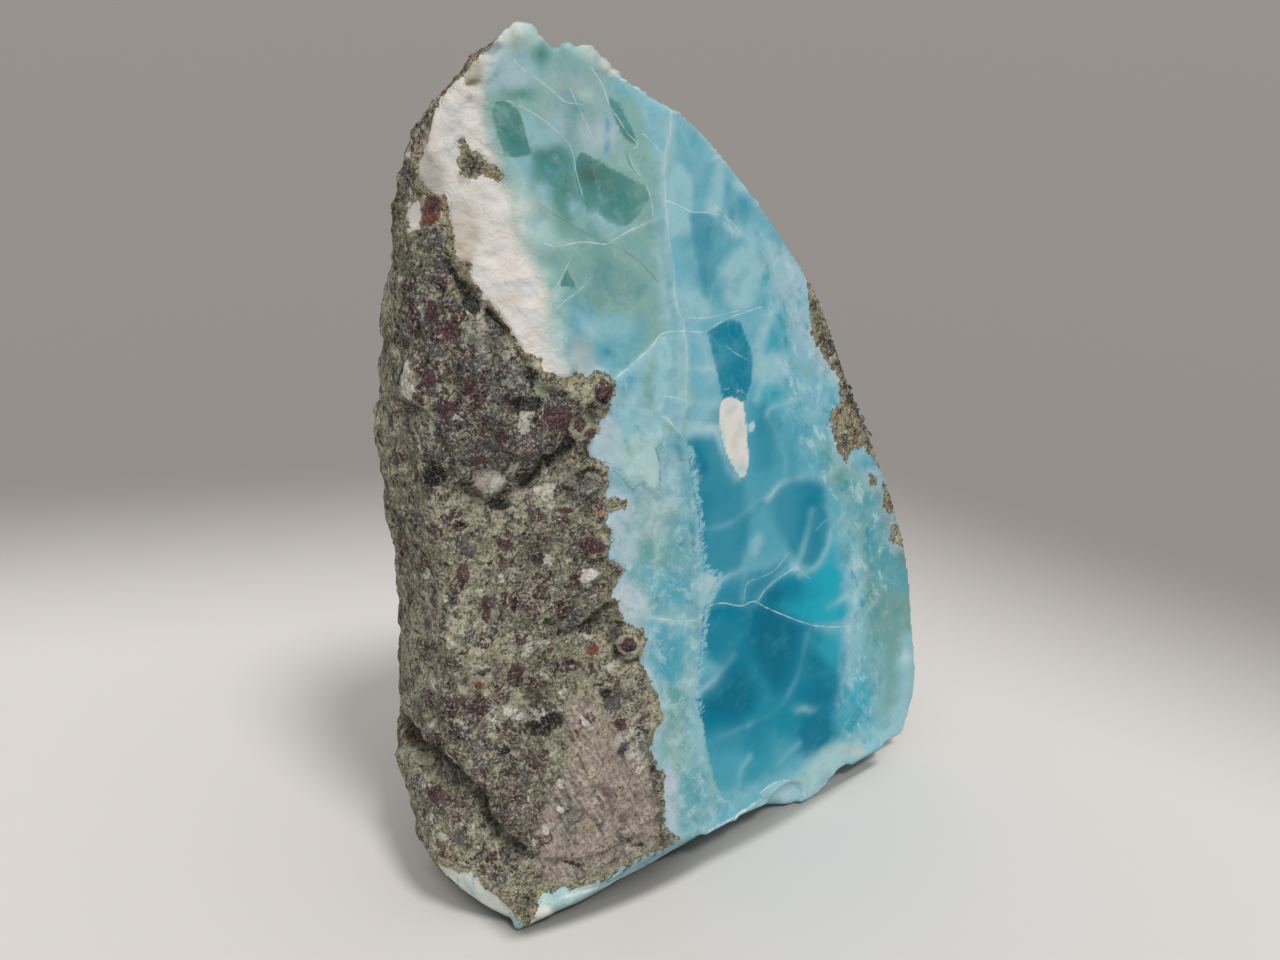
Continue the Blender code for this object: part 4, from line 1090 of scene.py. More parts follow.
class Markings:
    """Colours and lines of the stone's corners, laid on one after the other."""

    def __init__(self, tones, places, uv, seen):
        self.tones = {key: np.array(getattr(tones, key)[:]) for key in LarimarTones.__annotations__}
        self.places = places
        self.seen = seen
        # Edges of soft marks wander a little.
        far = np.stack([layered(places, 8.0, 2, seed) for seed in (5, 6)], axis=1)
        drift = np.stack([layered(places, 2.6, 3, seed) for seed in (7, 8)], axis=1)
        self.uv = uv
        self.wandering = uv + WANDER * far + WANDER * drift
        self.faint = 0.2 + 1.0 * smooth(-0.35, 0.35, layered(places, 6.0, 2, 9))
        self.under = np.tile(self.tones["azure"], (len(uv), 1))
        self.over = self.under.copy()
        self.edge = np.full(len(uv), -FAR)
        self.soft = np.ones(len(uv))
        self.ragged = np.zeros(len(uv))
        self.lines = np.full((len(uv), 3), FAR)
        self.strength = np.zeros((len(uv), 3))

    def lay(self, tone_name, share):
        """Mixes a tone in by a share for each corner."""
        share = np.where(self.seen, share, 0.0)[:, None]
        self.under += share * (self.tones[tone_name] - self.under)

    def around(self, path, reach):
        """True for the seen corners that lie no farther than that from the box round a path."""
        path = places_of(path)
        low, high = np.min(path, axis=0) - reach, np.max(path, axis=0) + reach
        return self.seen & np.all((self.uv > low) & (self.uv < high), axis=1)

    def firm(self, share):
        """Places in the view that wander by no more than a share."""
        return self.uv + share * (self.wandering - self.uv)

    def wash_share(self, soft, outline):
        """1 inside an outline, fading to 0 across its edge."""
        outline = curved(outline, closed=True)
        near = self.around(outline, soft + 10.0)
        share = np.zeros(len(self.uv))
        share[near] = smooth(-soft, soft, within(self.wandering[near], outline))
        return share

    def wash(self, tone_name, strength, soft, outline):
        """A soft area of one tone."""
        self.lay(tone_name, strength * self.wash_share(soft, outline))

    def spot_share(self, x, y, *shape):
        """1 in the middle of an ellipse, fading evenly to 0 outside it."""
        across, down = in_ellipse(self.wandering - (x, y), *shape)
        return np.exp(-SPOT_FALL * (across**2 + down**2))

    def depth_in(self, x, y, wide, high, lean):
        """Depth in pixels inside an ellipse that wanders only a little, negative outside."""
        across, down = in_ellipse(self.firm(FIRM) - (x, y), wide, high, lean)
        return (1 - np.hypot(across, down)) * min(wide, high)

    def spot(self, tone_name, strength, *shape):
        """A soft spot of one tone."""
        self.lay(tone_name, strength * self.spot_share(*shape))

    def stroke(self, tone_name, strength, half, line):
        """A soft line of one tone: a core with a wider haze."""
        line = curved(line)
        near = self.around(line, half * 5 + 6.0)
        distance, _, past = to_line(self.firm(FIRM)[near], line)
        share = np.zeros(len(self.uv))
        core = 0.7 * np.exp(-((distance / half) ** 2)) + 0.3 * np.exp(-((distance / half / 2.4) ** 2))
        share[near] = strength * core * smooth(half * 3, 0.0, past)
        self.lay(tone_name, share * self.faint)

    def paint(self, washes, spots, strokes):
        """Washes first, then spots, then strokes."""
        for wash in washes:
            self.wash(*wash)
        for spot in spots:
            self.spot(*spot)
        for stroke in strokes:
            self.stroke(*stroke)

    def overlay(self, soft, ragged, ground, outline, washes, spots, strokes):
        """A part with a crisp edge: its colour is kept apart from the one under it, close to the edge."""
        reach = 8.0 + soft
        close = self.around(outline, reach + 20.0)
        inside = np.full(len(self.uv), -FAR)
        inside[close] = within(self.firm(FIRMEST)[close], outline)
        before = np.where((self.edge > 0)[:, None], self.over, self.under)
        self.edge[close & (self.edge >= FAR)] = -FAR
        self.under = np.tile(self.tones[ground], (len(self.uv), 1))
        self.paint(washes, spots, strokes)
        colour = self.under
        near = (np.abs(inside) < reach) & self.seen
        deep = (inside >= reach) & self.seen
        self.over[near] = colour[near]
        self.under = np.where(deep[:, None], colour, before)
        self.over[deep] = colour[deep]
        self.edge[near] = inside[near]
        self.edge[deep] = FAR
        self.soft[near | deep] = soft
        self.ragged[near | deep] = ragged

    def line(self, channel, half, strength, path):
        """A thin line, kept as its signed distance so that it stays thinner than the mesh."""
        path = curved(path)
        close = np.flatnonzero(self.around(path, 14.0))
        distance, side, past = to_line(self.uv[close], path)
        nearer = distance < np.abs(self.lines[close, channel]) * half
        near = close[nearer]
        self.lines[near, channel] = (distance * side / half)[nearer]
        fade = smooth(9.0, 5.0, distance) * smooth(4.0, 0.5, past)
        self.strength[near, channel] = (strength * fade)[nearer]


def ground_of_basalt(marks, places):
    """The basalt's random ground, before its own marks are laid on it."""
    share = smooth(-0.5, 0.55, layered(places, 9.0, 4, 21))[:, None]
    ground = marks.tones["moss"] + share * (marks.tones["sand"] - marks.tones["moss"])
    dark = smooth(0.12, 0.5, layered(places, 16.0, 3, 31))[:, None] * 0.8
    ground = ground + dark * (marks.tones["slate"] - ground)
    pink = smooth(0.25, 0.6, layered(places, 13.0, 3, 41))[:, None] * 0.6
    return ground + pink * (marks.tones["taupe"] - ground)


def ground_of_broken_vein(marks, places):
    """The vein where it was broken and not polished: pale, with green and blue in it."""
    share = smooth(-0.5, 0.5, layered(places, 7.0, 4, 51))[:, None]
    ground = marks.tones["celadon"] + share * (marks.tones["pale"] - marks.tones["celadon"])
    blue = smooth(0.15, 0.5, layered(places, 10.0, 3, 61))[:, None] * 0.7
    ground = ground + blue * (marks.tones["azure"] - ground)
    white = smooth(0.2, 0.55, layered(places, 5.0, 3, 65))[:, None] * 0.8
    return ground + white * (marks.tones["chalk"] - ground)


def outline_share(marks, name, outside, inside):
    """How far the seen corners lie inside a part with a crisp edge, from 0 to 1."""
    depth = within(marks.uv, OVERLAYS[name][3])
    return np.where(marks.seen, smooth(-outside, inside, depth), 0.0)


def grain_depth(marks, places, size):
    """Depth in the basalt's grains, large, small and placed ones, and the value that gives each its tone."""
    pushed = places + 0.5 * np.stack([layered(places, 2.0, 2, seed) for seed in (81, 82, 83)], axis=1)
    depth, kind = grains(pushed, size, 91)
    small, small_kind = grains(places, size * 0.45, 191)
    take = small > depth
    depth, kind = np.where(take, small, depth), np.where(take, small_kind, kind)
    for shape in PLACED_GRAINS:
        share = np.maximum(marks.spot_share(*shape), 1e-9)
        there = PLACED_DEPTH - PLACED_DEPTH * np.sqrt(-np.log(share) / SPOT_FALL)
        nearer = marks.seen & (there > depth)
        depth, kind = np.where(nearer, there, depth), np.where(nearer, PLACED_KIND, kind)
    return depth, kind


def basalt_height(sizes, marks, places, basalt, depth):
    """The basalt's relief in mm, and the shade painted into its hollows, from 0 to 1."""
    lumps = 0.65 * layered(places, 5.2, 4, 11, 0.62) + 0.35 * layered(places, 2.2, 3, 15, 0.7)
    relief = basalt * (
        sizes.basalt_relief * 1.5 * lumps
        + sizes.basalt_relief * (0.35 - 1.4 * np.abs(layered(places, 4.2, 3, 23, 0.6)))
        + sizes.basalt_grit * 1.6 * layered(places, 1.0, 2, 17, 0.8)
        + 0.16 * smooth(-0.1, 0.5, depth)
    )
    # Painted shade: the lower the lumps, the darker the basalt is painted.
    hollow_shade = smooth(-0.05, -0.5, lumps + 0.3 * layered(places, 1.4, 3, 19, 0.7)) * basalt
    for hollow, half, path in HOLLOWS:
        near = marks.around(path, half * 3)
        away, _, past = to_line(marks.wandering[near], curved(path))
        shape = np.exp(-((away / half) ** 2)) * smooth(half * 2, 0.0, past) * basalt[near]
        relief[near] -= hollow * shape
        hollow_shade[near] = np.clip(hollow_shade[near] + hollow * 0.9 * shape, 0.0, 1.0)
    return relief, hollow_shade


def vein_height(sizes, marks, places, basalt, white, strip):
    """The relief in mm of the rough white part, the broken vein, the fibrous strip and the flaked shell."""
    lumps = layered(places, 3.6, 4, 33, 0.6) + 0.5 * np.abs(layered(places, 1.6, 3, 37))
    relief = white * (1 - basalt) * sizes.white_relief * 1.8 * lumps
    broken = np.where(marks.seen | (basalt > 0.5), 0.0, 1.0 - basalt)
    relief += broken * 0.45 * layered(places, 3.0, 4, 43, 0.6)
    shell = outline_share(marks, "flaked shell", 1.2, 1.2) * (1 - basalt)
    relief += strip * (1 - shell) * 0.16 * layered(places * (1.0, 1.0, 0.6), 1.7, 3, 47)
    return relief + shell * sizes.shell_step


def crest_height(marks):
    """How far the crest and the lower edge stand out past the solid, in mm."""
    height = np.zeros(len(marks.uv))
    for rise, half, path in CREST:
        near = marks.around(path, half * 3)
        away, _, past = to_line(marks.uv[near], path)
        height[near] += rise * np.exp(-((away / half) ** 2)) * smooth(half, 0.0, past)
    return height


def paint_vein(marks, places):
    """All marks of the vein, from its ground to its lines."""
    marks.under = ground_of_broken_vein(marks, places)
    marks.paint(WASHES, SPOTS, STROKES)
    marks.over = marks.under.copy()
    for overlay in OVERLAYS.values():
        marks.overlay(*overlay)
    for line in LINES:
        marks.line(*line)


def paint_pieces(rock):
    """Tone of the nearest piece in the basalt for each corner, and the depth inside it in pixels."""
    tone_of = np.tile(rock.tones["ash"], (len(rock.uv), 1))
    depth = np.full(len(rock.uv), -9.0)
    for name, *shape in PIECES:
        inside = rock.depth_in(*shape)
        tone_of[rock.seen & (inside > np.where(depth > 0, 0.0, depth))] = rock.tones[name]
        depth = np.where(rock.seen, np.maximum(depth, inside), -9.0)
    return np.column_stack((tone_of, depth))


def add_halo(marks, edge):
    """A pale halo of the vein beside the basalt, in the lower part of the view."""
    beside = smooth(540, 600, marks.uv[:, 0]) * smooth(340, 440, marks.uv[:, 1])
    halo = np.where(marks.seen, smooth(-11.0, -1.0, edge) * 0.45 * beside, 0.0)[:, None]
    for layer in (marks.under, marks.over):
        layer += halo * (marks.tones["lavender"] - layer)


def fibre_strength(marks):
    """How much of the fibres shows at each corner."""
    fibre = np.full(len(marks.uv), 0.8)
    for strength, soft, outline in FIBRES:
        share = np.where(marks.seen, smooth(-soft, soft, within(marks.wandering, outline)), 0.0)
        fibre += share * (strength - fibre)
    return fibre


def hair_beside_strip(marks):
    """Where fine hairs reach from the fibrous strip into the polished vein, from 0 to 1."""
    fringe = within(marks.uv, OVERLAYS["fibrous strip"][3])
    down = marks.uv[:, 1]
    hair = smooth(-16.0, -1.0, fringe) * smooth(1.0, -1.0, fringe) * smooth(430, 450, down)
    return np.where(marks.seen, hair, 0.0) * smooth(735, 700, down)


def build_surface(sizes, tones):
    """The stone's fine mesh, in mm, with its relief and all its marks."""
    solid = cad_mesh()
    even = even_mesh(solid, sizes.mesh_step)
    refine_front(even)
    mesh = bpy.data.meshes.new("larimar")
    even.to_mesh(mesh)
    even.free()

    places, normals, ends = arrays_of(mesh)
    on_side = np.abs(places[:, 1] - POLISHED_Y) < POLISHED_HALF
    places[on_side, 1] = POLISHED_Y
    seen = seen_by_camera(solid, places, normals)
    solid.free()
    uv = in_view(places)
    edge = basalt_edge(places, uv, seen)
    basalt = smooth(-4.0, 2.0, edge)

    # Facets of the solid melt away where the stone is rough.
    white = np.where(seen, smooth(-14.0, 8.0, within(uv, WHITE_PART)), 0.0)
    raw = np.where(seen, np.maximum(basalt, white), 1.0)
    places = relax(places, ends, 6, np.where(on_side, 0.0, 0.12 + 0.48 * raw))
    put(mesh, places)
    places, normals, _ = arrays_of(mesh)

    marks = Markings(tones, places, in_view(places), seen)
    depth, kind = grain_depth(marks, places, sizes.grain_size)
    strip = outline_share(marks, "fibrous strip", 2.0, 3.0) * (1 - basalt)
    relief, hollow_shade = basalt_height(sizes, marks, places, basalt, depth)
    relief += vein_height(sizes, marks, places, basalt, white, strip)
    foot = 0.15 + 0.85 * smooth(0.1, 2.4, places[:, 2])
    relief = np.where(on_side, 0.0, relief * foot) + crest_height(marks)
    places = places + normals * relief[:, None]
    places[:, 2] = np.maximum(places[:, 2], 0.0)

    paint_vein(marks, places)
    add_halo(marks, edge)
    rock = Markings(tones, places, marks.uv, seen)
    rock.under = ground_of_basalt(rock, places)
    for wash in BASALT_WASHES:
        rock.wash(*wash)
    strands = rock.wash_share(6.0, FIBROUS_BASALT)
    hair = hair_beside_strip(marks)
    fibre = fibre_strength(marks)
    polish = np.clip(np.where(seen, 1.0 - 0.75 * strip - white, 0.0), 0.0, 1.0) * (1 - basalt)

    write(mesh, "vein", marks.under)
    write(mesh, "vein_over", marks.over)
    write(mesh, "rock", rock.under)
    write(mesh, "piece", paint_pieces(rock))
    write(mesh, "edge", marks.edge, marks.soft, marks.ragged)
    write(mesh, "lines", *marks.lines.T)
    write(mesh, "strength", *marks.strength.T)
    write(mesh, "basalt", edge, depth, kind)
    write(mesh, "hollow", hollow_shade, hair, strands)
    write(mesh, "finish", polish, fibre, white * (1 - basalt))
    put(mesh, places * MM)
    return mesh


def write(mesh, name, *values):
    """Keeps one colour for each corner on the mesh, or three values."""
    if len(values) == 1:
        kind, key, rows = "FLOAT_COLOR", "color", values[0]
        if rows.shape[1] == 3:
            rows = np.column_stack((rows, np.ones(len(rows))))
    else:
        kind, key, rows = "FLOAT_VECTOR", "vector", np.stack(values, axis=1)
    attribute = mesh.attributes.new(name, kind, "POINT")
    attribute.data.foreach_set(key, rows.astype(np.float32).ravel())


# Materials.


class Nodes:
    """Adds shader nodes; a number or a colour goes straight into a socket, and a socket is linked."""

    def __init__(self, tree):
        self.tree = tree
        tree.nodes.clear()

    def add(self, kind, inputs=None, **settings):
        """A new node with its inputs filled and its settings made."""
        node = self.tree.nodes.new(kind)
        for key, value in settings.items():
            setattr(node, key, value)
        for key, value in (inputs or {}).items():
            self.plug(node.inputs[key], value)
        return node

    def plug(self, socket, value):
        """Links a socket to a socket, or sets its value."""
        if isinstance(value, bpy.types.NodeSocket):
            self.tree.links.new(value, socket)
        else:
            socket.default_value = value

    def math(self, operation, *values):
        """One sum on sockets and numbers."""
        return self.add("ShaderNodeMath", dict(enumerate(values)), operation=operation).outputs[0]

    def times(self, value, *others):
        """The product of all of them."""
        for other in others:
            value = self.math("MULTIPLY", value, other)
        return value

    def plus(self, a, b):
        """The two added up."""
        return self.math("ADD", a, b)

    def minus(self, a, b):
        """The first less the second."""
        return self.math("SUBTRACT", a, b)

    def swing(self, noise, reach):
        """A noise moved to lie round 0, and stretched over that reach."""
        return self.times(self.minus(noise, 0.5), reach)

    def vector_math(self, operation, vector, inputs):
        """One sum on places or directions."""
        return self.add("ShaderNodeVectorMath", {0: vector, **inputs}, operation=operation).outputs

    def ramp(self, value, low, high, smoothly=True):
        """0 below low and 1 above high; turned round where low is the larger."""
        kind = "SMOOTHSTEP" if smoothly else "LINEAR"
        if low > high:
            return self.minus(1.0, self.ramp(value, high, low, smoothly))
        inputs = {"Value": value, "From Min": low, "From Max": high}
        return self.add("ShaderNodeMapRange", inputs, interpolation_type=kind).outputs["Result"]

    def mix(self, share, a, b, blend="MIX"):
        """The first colour, with a share of the second."""
        node = self.add("ShaderNodeMix", data_type="RGBA", blend_type=blend, clamp_factor=True)
        self.plug(node.inputs[0], share)
        for socket, colour in ((node.inputs[6], a), (node.inputs[7], b)):
            self.plug(socket, colour if isinstance(colour, bpy.types.NodeSocket) else (*colour, 1.0))
        return node.outputs[2]

    def tint(self, colour, tone_laid_on, *shares):
        """The colour with a tone laid on it, by the product of the shares."""
        return self.mix(self.times(*shares), colour, tone_laid_on)

    def noise(self, vector, scale, detail=3.0, roughness=0.55):
        """Soft noise from 0 to 1."""
        inputs = {"Vector": vector, "Scale": scale, "Detail": detail, "Roughness": roughness}
        return self.add("ShaderNodeTexNoise", inputs).outputs["Fac"]

    def stretch(self, vector, scale, turn=(0.0, 0.0, 0.0)):
        """Places scaled along the axes."""
        inputs = {"Vector": vector, "Scale": scale, "Rotation": turn}
        return self.add("ShaderNodeMapping", inputs).outputs["Vector"]

    def bend(self, vector, scale, reach, detail=3.0):
        """Places pushed about by a smooth noise, by about that many mm."""
        inputs = {"Vector": vector, "Scale": scale, "Detail": detail}
        push = self.add("ShaderNodeTexNoise", inputs).outputs["Color"]
        push = self.vector_math("SUBTRACT", push, {1: (0.5, 0.5, 0.5)})[0]
        push = self.vector_math("SCALE", push, {"Scale": reach * 2})[0]
        return self.vector_math("ADD", vector, {1: push})[0]

    def strands(self, vector, along, thin, length):
        """Noise drawn out along a direction: strands to a mm across it, and their length in mm."""
        along = Vector(along).normalized()
        across = along.orthogonal().normalized()
        parts = []
        for way, scale in ((along, 1 / length), (across, thin), (along.cross(across), thin)):
            parts.append(self.vector_math("DOT_PRODUCT", vector, {1: tuple(way * scale)})["Value"])
        drawn = self.add("ShaderNodeCombineXYZ", dict(enumerate(parts))).outputs["Vector"]
        return self.noise(drawn, 1.0, 4.0, 0.6)

    def parts(self, vector):
        """The three parts of a vector or a colour."""
        return self.add("ShaderNodeSeparateXYZ", {0: vector}).outputs

    def cells(self, vector, scale, feature):
        """Random cells."""
        return self.add("ShaderNodeTexVoronoi", {"Vector": vector, "Scale": scale}, feature=feature)

    def kept(self, name):
        """Colours or values that the mesh carries."""
        return self.add("ShaderNodeAttribute", attribute_name=name).outputs

    def kept_values(self, name):
        """The three values that the mesh carries under one name."""
        return self.parts(self.kept(name)["Vector"])


def vein_colour(n, tones, mm):
    """Colour of the vein: two kept layers, their crisp edge, fibres, flecks and lines."""
    edge, soft, ragged = n.kept_values("edge")
    polish, fibre, white = n.kept_values("finish")
    hair = n.kept_values("hollow")[1]
    spikes = n.noise(n.stretch(mm, (0.45, 0.45, 1.6), (0.0, 0.35, 0.0)), 1.0, 5.0, 0.7)
    wobble = n.swing(spikes, n.times(ragged, 4.5))
    placed = n.plus(edge, wobble)
    share = n.ramp(n.math("DIVIDE", placed, soft), -1.0, 1.0)
    colour = n.mix(share, n.kept("vein")["Color"], n.kept("vein_over")["Color"])

    dull = n.minus(1.0, polish)
    clouds = n.noise(mm, 0.3, 3.0, 0.5)
    cloudy = n.times(fibre, 0.45)
    colour = n.tint(colour, tones.mist, n.ramp(clouds, 0.5, 0.75), cloudy)
    colour = n.tint(colour, tones.teal, n.ramp(clouds, 0.5, 0.25), n.times(cloudy, polish))

    veil = n.noise(n.bend(mm, 0.3, 1.0), 0.26, 5.0, 0.6)
    glassy = n.times(polish, 0.3)
    colour = n.tint(colour, tones.sea, n.ramp(veil, 0.5, 0.72), glassy)
    colour = n.tint(colour, tones.deep, n.ramp(veil, 0.5, 0.28), glassy)

    tuft = n.noise(mm, 0.45, 2.0)
    spines = n.strands(n.bend(mm, 0.5, 1.2), (0.93, 0.0, 0.36), 1.9, 2.6)
    taper = n.times(n.minus(1.0, hair), n.plus(n.times(tuft, 0.9), 0.05))
    hairs = n.ramp(n.minus(spines, taper), 0.36, 0.5)
    colour = n.tint(colour, tones.mist, hairs, n.times(n.ramp(hair, 0.0, 0.15), 0.75))

    mottle = n.strands(n.bend(mm, 0.35, 1.0), (0.5, 0.0, -0.85), 0.8, 3.4)
    dark = n.times(n.ramp(mottle, 0.48, 0.32), n.times(fibre, 0.75))
    colour = n.tint(colour, n.mix(n.ramp(clouds, 0.42, 0.56), tones.teal, tones.jade_light), dark)
    pale = n.times(n.ramp(mottle, 0.52, 0.7), n.times(fibre, 0.7))
    colour = n.tint(colour, tones.pale, pale)
    flecks = n.strands(n.bend(mm, 0.3, 0.8), *FIBRE_GRAIN)
    sugar = n.times(fibre, dull, 0.35)
    colour = n.tint(colour, tones.pale, n.ramp(flecks, 0.54, 0.68), sugar)
    colour = n.tint(colour, tones.sea, n.ramp(flecks, 0.46, 0.34), n.times(sugar, 0.6))
    billow = n.noise(n.bend(mm, 0.5, 1.2), 0.5, 5.0, 0.62)
    milky = n.plus(n.times(dull, 0.4), 0.14)
    milky = n.times(milky, n.ramp(fibre, 0.0, 0.2))
    colour = n.tint(colour, tones.pale, n.ramp(billow, 0.5, 0.66), milky)
    colour = n.tint(colour, tones.sea, n.ramp(billow, 0.48, 0.34), n.times(milky, 0.7))
    lumpy = n.noise(n.bend(mm, 0.35, 1.2), 0.32, 4.0, 0.5)
    colour = n.tint(colour, tones.lavender, n.ramp(lumpy, 0.5, 0.34), n.times(white, 0.3))
    colour = n.tint(colour, tones.beige, n.ramp(lumpy, 0.56, 0.7), n.times(white, 0.25))

    distances = n.kept_values("lines")
    strengths = n.kept_values("strength")
    faint = n.ramp(n.noise(mm, 0.8, 3.0), 0.36, 0.58)
    broken = n.plus(n.times(faint, 0.8), 0.2)
    ragged_line = n.swing(n.noise(mm, 2.4, 3.0, 0.6), 1.8)
    for distance, strength in zip(distances[:3], strengths[:3]):
        reach = n.plus(n.math("ABSOLUTE", distance), ragged_line)
        line = n.times(n.ramp(reach, 1.35, 0.35), broken)
        colour = n.tint(colour, tones.web, line, n.math("MAXIMUM", strength, 0.0))
        # a negative strength paints a dark line: a stain, and at the flaked shell's edge a painted shadow
        stain = n.math("MAXIMUM", n.times(strength, -1.0), 0.0)
        colour = n.tint(colour, tones.moss, line, stain)
    return colour, polish, fibre, white


def basalt_colour(n, tones, mm):
    """Colour of the basalt: packed crumbs and grains in a paler net, chips and an olive rind, with painted
    shade in its pits, cracks and hollows.
    """
    edge, depth, kind = n.kept_values("basalt")
    hollow_shade = n.kept_values("hollow")[0]
    strand_share = n.kept_values("hollow")[2]
    calm = n.minus(1.0, n.times(strand_share, 0.8))
    bent = n.bend(mm, 1.0, 1.0)
    grit = n.noise(mm, 1.5, 6.0, 0.7)
    specks = n.noise(mm, 4.2, 3.0, 0.7)

    lump = n.cells(bent, 0.66, "DISTANCE_TO_EDGE").outputs["Distance"]
    lot, shade, _ = n.parts(n.cells(bent, 0.66, "F1").outputs["Color"])
    crumb = n.cells(bent, 1.7, "DISTANCE_TO_EDGE").outputs["Distance"]
    crumbs, crumb_shade, _ = n.parts(n.cells(bent, 1.7, "F1").outputs["Color"])
    ragged = n.swing(grit, 0.45)

    colour = n.kept("rock")["Color"]
    plain = n.minus(1.0, n.times(strand_share, 0.85))
    cell_body = n.times(n.ramp(n.plus(lump, ragged), 0.02, 0.1), plain)
    colour = n.tint(colour, tones.moss, n.ramp(shade, 0.6, 0.75), cell_body, 0.55)
    colour = n.tint(colour, tones.sand, n.ramp(shade, 0.2, 0.1), cell_body, 0.6)
    red = n.mix(n.ramp(shade, 0.5, 0.56), tones.maroon, tones.slate)
    colour = n.tint(colour, red, n.ramp(lot, 0.28, 0.24), cell_body, 0.85)
    colour = n.tint(colour, tones.ash, n.ramp(lot, 0.92, 0.94), cell_body, 0.8)

    seam = n.swing(n.noise(mm, 1.2, 5.0, 0.7), 2.0)
    grain = n.ramp(n.plus(depth, seam), 0.1, 0.4)
    large = n.mix(n.ramp(kind, 0.5, 0.54), tones.maroon, tones.slate)
    large = n.tint(large, tones.ash, n.ramp(kind, 0.88, 0.9))
    colour = n.tint(colour, large, grain, 0.88)

    small = n.ramp(crumb, 0.03, 0.1)
    colour = n.tint(colour, tones.moss, n.ramp(crumbs, 0.74, 0.8), small, 0.6)
    colour = n.tint(colour, tones.sand, n.ramp(crumbs, 0.24, 0.18), small, 0.55)
    colour = n.tint(colour, tones.taupe, n.ramp(crumb_shade, 0.9, 0.94), small, 0.7)

    drawn = n.strands(n.bend(mm, 0.3, 0.35), (0.355, -0.148, -0.92), 2.3, 9.0)
    pale_strand = n.times(n.ramp(drawn, 0.5, 0.62), n.times(strand_share, 0.8))
    colour = n.tint(colour, n.mix(0.35, tones.taupe, tones.ash), pale_strand)
    dark_strand = n.times(n.ramp(drawn, 0.44, 0.34), n.times(strand_share, 0.5))
    colour = n.tint(colour, n.mix(0.5, tones.maroon, tones.slate), dark_strand)

    wander = n.swing(n.noise(mm, 1.6, 4.0, 0.65), 7.0)
    rind = n.times(n.ramp(n.plus(edge, wander), 6.0, 1.5), 0.8)
    colour = n.tint(colour, tones.olive, rind)

    piece = n.kept("piece")
    piece_edge = n.plus(piece["Alpha"], n.swing(grit, 9.0))
    piece_share = n.ramp(piece_edge, -0.8, 0.8)
    colour = n.tint(colour, piece["Color"], piece_share, 0.92)

    light = n.plus(n.times(n.ramp(grit, 0.32, 0.68, smoothly=False), 0.95), 0.6)
    colour = n.mix(1.0, colour, light, "MULTIPLY")
    calm_piece = n.times(calm, n.minus(1.0, n.times(piece_share, 0.7)))
    flakes = n.noise(mm, 2.5, 2.0, 0.6)
    colour = n.tint(colour, tones.ash, n.ramp(flakes, 0.57, 0.63), n.times(calm_piece, 0.5))
    colour = n.tint(colour, tones.soot, n.ramp(flakes, 0.42, 0.36), n.times(calm_piece, 0.6))
    colour = n.tint(colour, tones.ash, n.ramp(specks, 0.58, 0.68), n.times(calm, 0.55))
    colour = n.tint(colour, tones.soot, n.ramp(specks, 0.4, 0.33), n.times(calm, 0.5))
    # painted shade: the narrow gaps between the basalt's cells are darkened towards black
    cracks = n.cells(n.bend(mm, 1.6, 0.8), 0.9, "DISTANCE_TO_EDGE").outputs["Distance"]
    crack_shade = n.times(n.ramp(cracks, 0.08, 0.02), n.ramp(n.noise(mm, 0.9, 3.0), 0.5, 0.58))
    crack_shade = n.times(crack_shade, calm_piece)
    colour = n.tint(colour, tones.soot, crack_shade, 0.8)
    # painted shade: the small pits are darkened towards black, and sunk in the bump
    pits = n.noise(bent, 0.8, 5.0, 0.72)
    pit_shade = n.times(n.ramp(pits, 0.6, 0.66), calm_piece)
    colour = n.tint(colour, tones.soot, pit_shade, 0.85)
    chips = n.noise(bent, 1.0, 4.0, 0.7)
    colour = n.tint(colour, tones.ash, n.ramp(chips, 0.63, 0.68), n.times(calm_piece, 0.75))
    # painted shade: the basalt darkens towards black in its hollows
    colour = n.tint(colour, tones.soot, hollow_shade, 0.6)

    mound = n.times(n.ramp(n.plus(lump, ragged), 0.0, 0.3), 0.5)
    height = n.plus(mound, n.times(n.ramp(crumb, 0.0, 0.2), 0.18))
    height = n.plus(height, n.plus(n.times(grit, 1.0), n.times(specks, 0.2)))
    height = n.plus(height, n.times(drawn, strand_share, 0.5))
    height = n.minus(height, n.times(n.plus(pit_shade, crack_shade), 0.25))
    return colour, edge, height


def stone_material(tones):
    """The whole stone in one material: polished vein, rough vein and basalt."""
    material = bpy.data.materials.new("larimar_in_basalt")
    material.use_nodes = True
    n = Nodes(material.node_tree)
    mm = n.stretch(n.add("ShaderNodeTexCoord").outputs["Object"], (1 / MM,) * 3)
    vein, polish, fibre, white = vein_colour(n, tones, mm)
    rock, edge, bumps = basalt_colour(n, tones, mm)
    ragged = n.swing(n.noise(mm, 0.9, 6.0, 0.72), 20.0)
    basalt = n.ramp(n.plus(edge, ragged), -0.7, 0.7)
    colour = n.mix(basalt, vein, rock)

    gloss = n.times(polish, n.minus(1.0, basalt))
    roughness = n.ramp(gloss, 0.0, 1.0, smoothly=False)
    roughness = n.minus(0.78, n.times(roughness, 0.56))
    height = n.times(bumps, n.times(basalt, 0.55))
    sugar = n.plus(n.times(n.noise(mm, 2.0, 3.0, 0.6), 0.25), n.noise(n.bend(mm, 0.7, 0.8), 0.5, 4.0, 0.5))
    sugar = n.times(sugar, n.times(white, 0.5))
    nap = n.strands(n.bend(mm, 0.3, 0.8), *FIBRE_GRAIN)
    nap = n.times(nap, n.times(fibre, n.minus(1.0, polish), 0.4))
    height = n.plus(height, n.plus(sugar, nap))
    bump = n.add("ShaderNodeBump", {"Height": height, "Strength": 0.9, "Distance": MM})
    shader = n.add(
        "ShaderNodeBsdfPrincipled",
        {
            "Base Color": colour,
            "Roughness": roughness,
            "Normal": bump.outputs["Normal"],
            "Specular IOR Level": 0.08,
            "Specular Tint": (0.3, 0.9, 1.0, 1.0),
            "IOR": 1.5,
        },
    )
    n.add("ShaderNodeOutputMaterial", {"Surface": shader.outputs[0]})
    return material


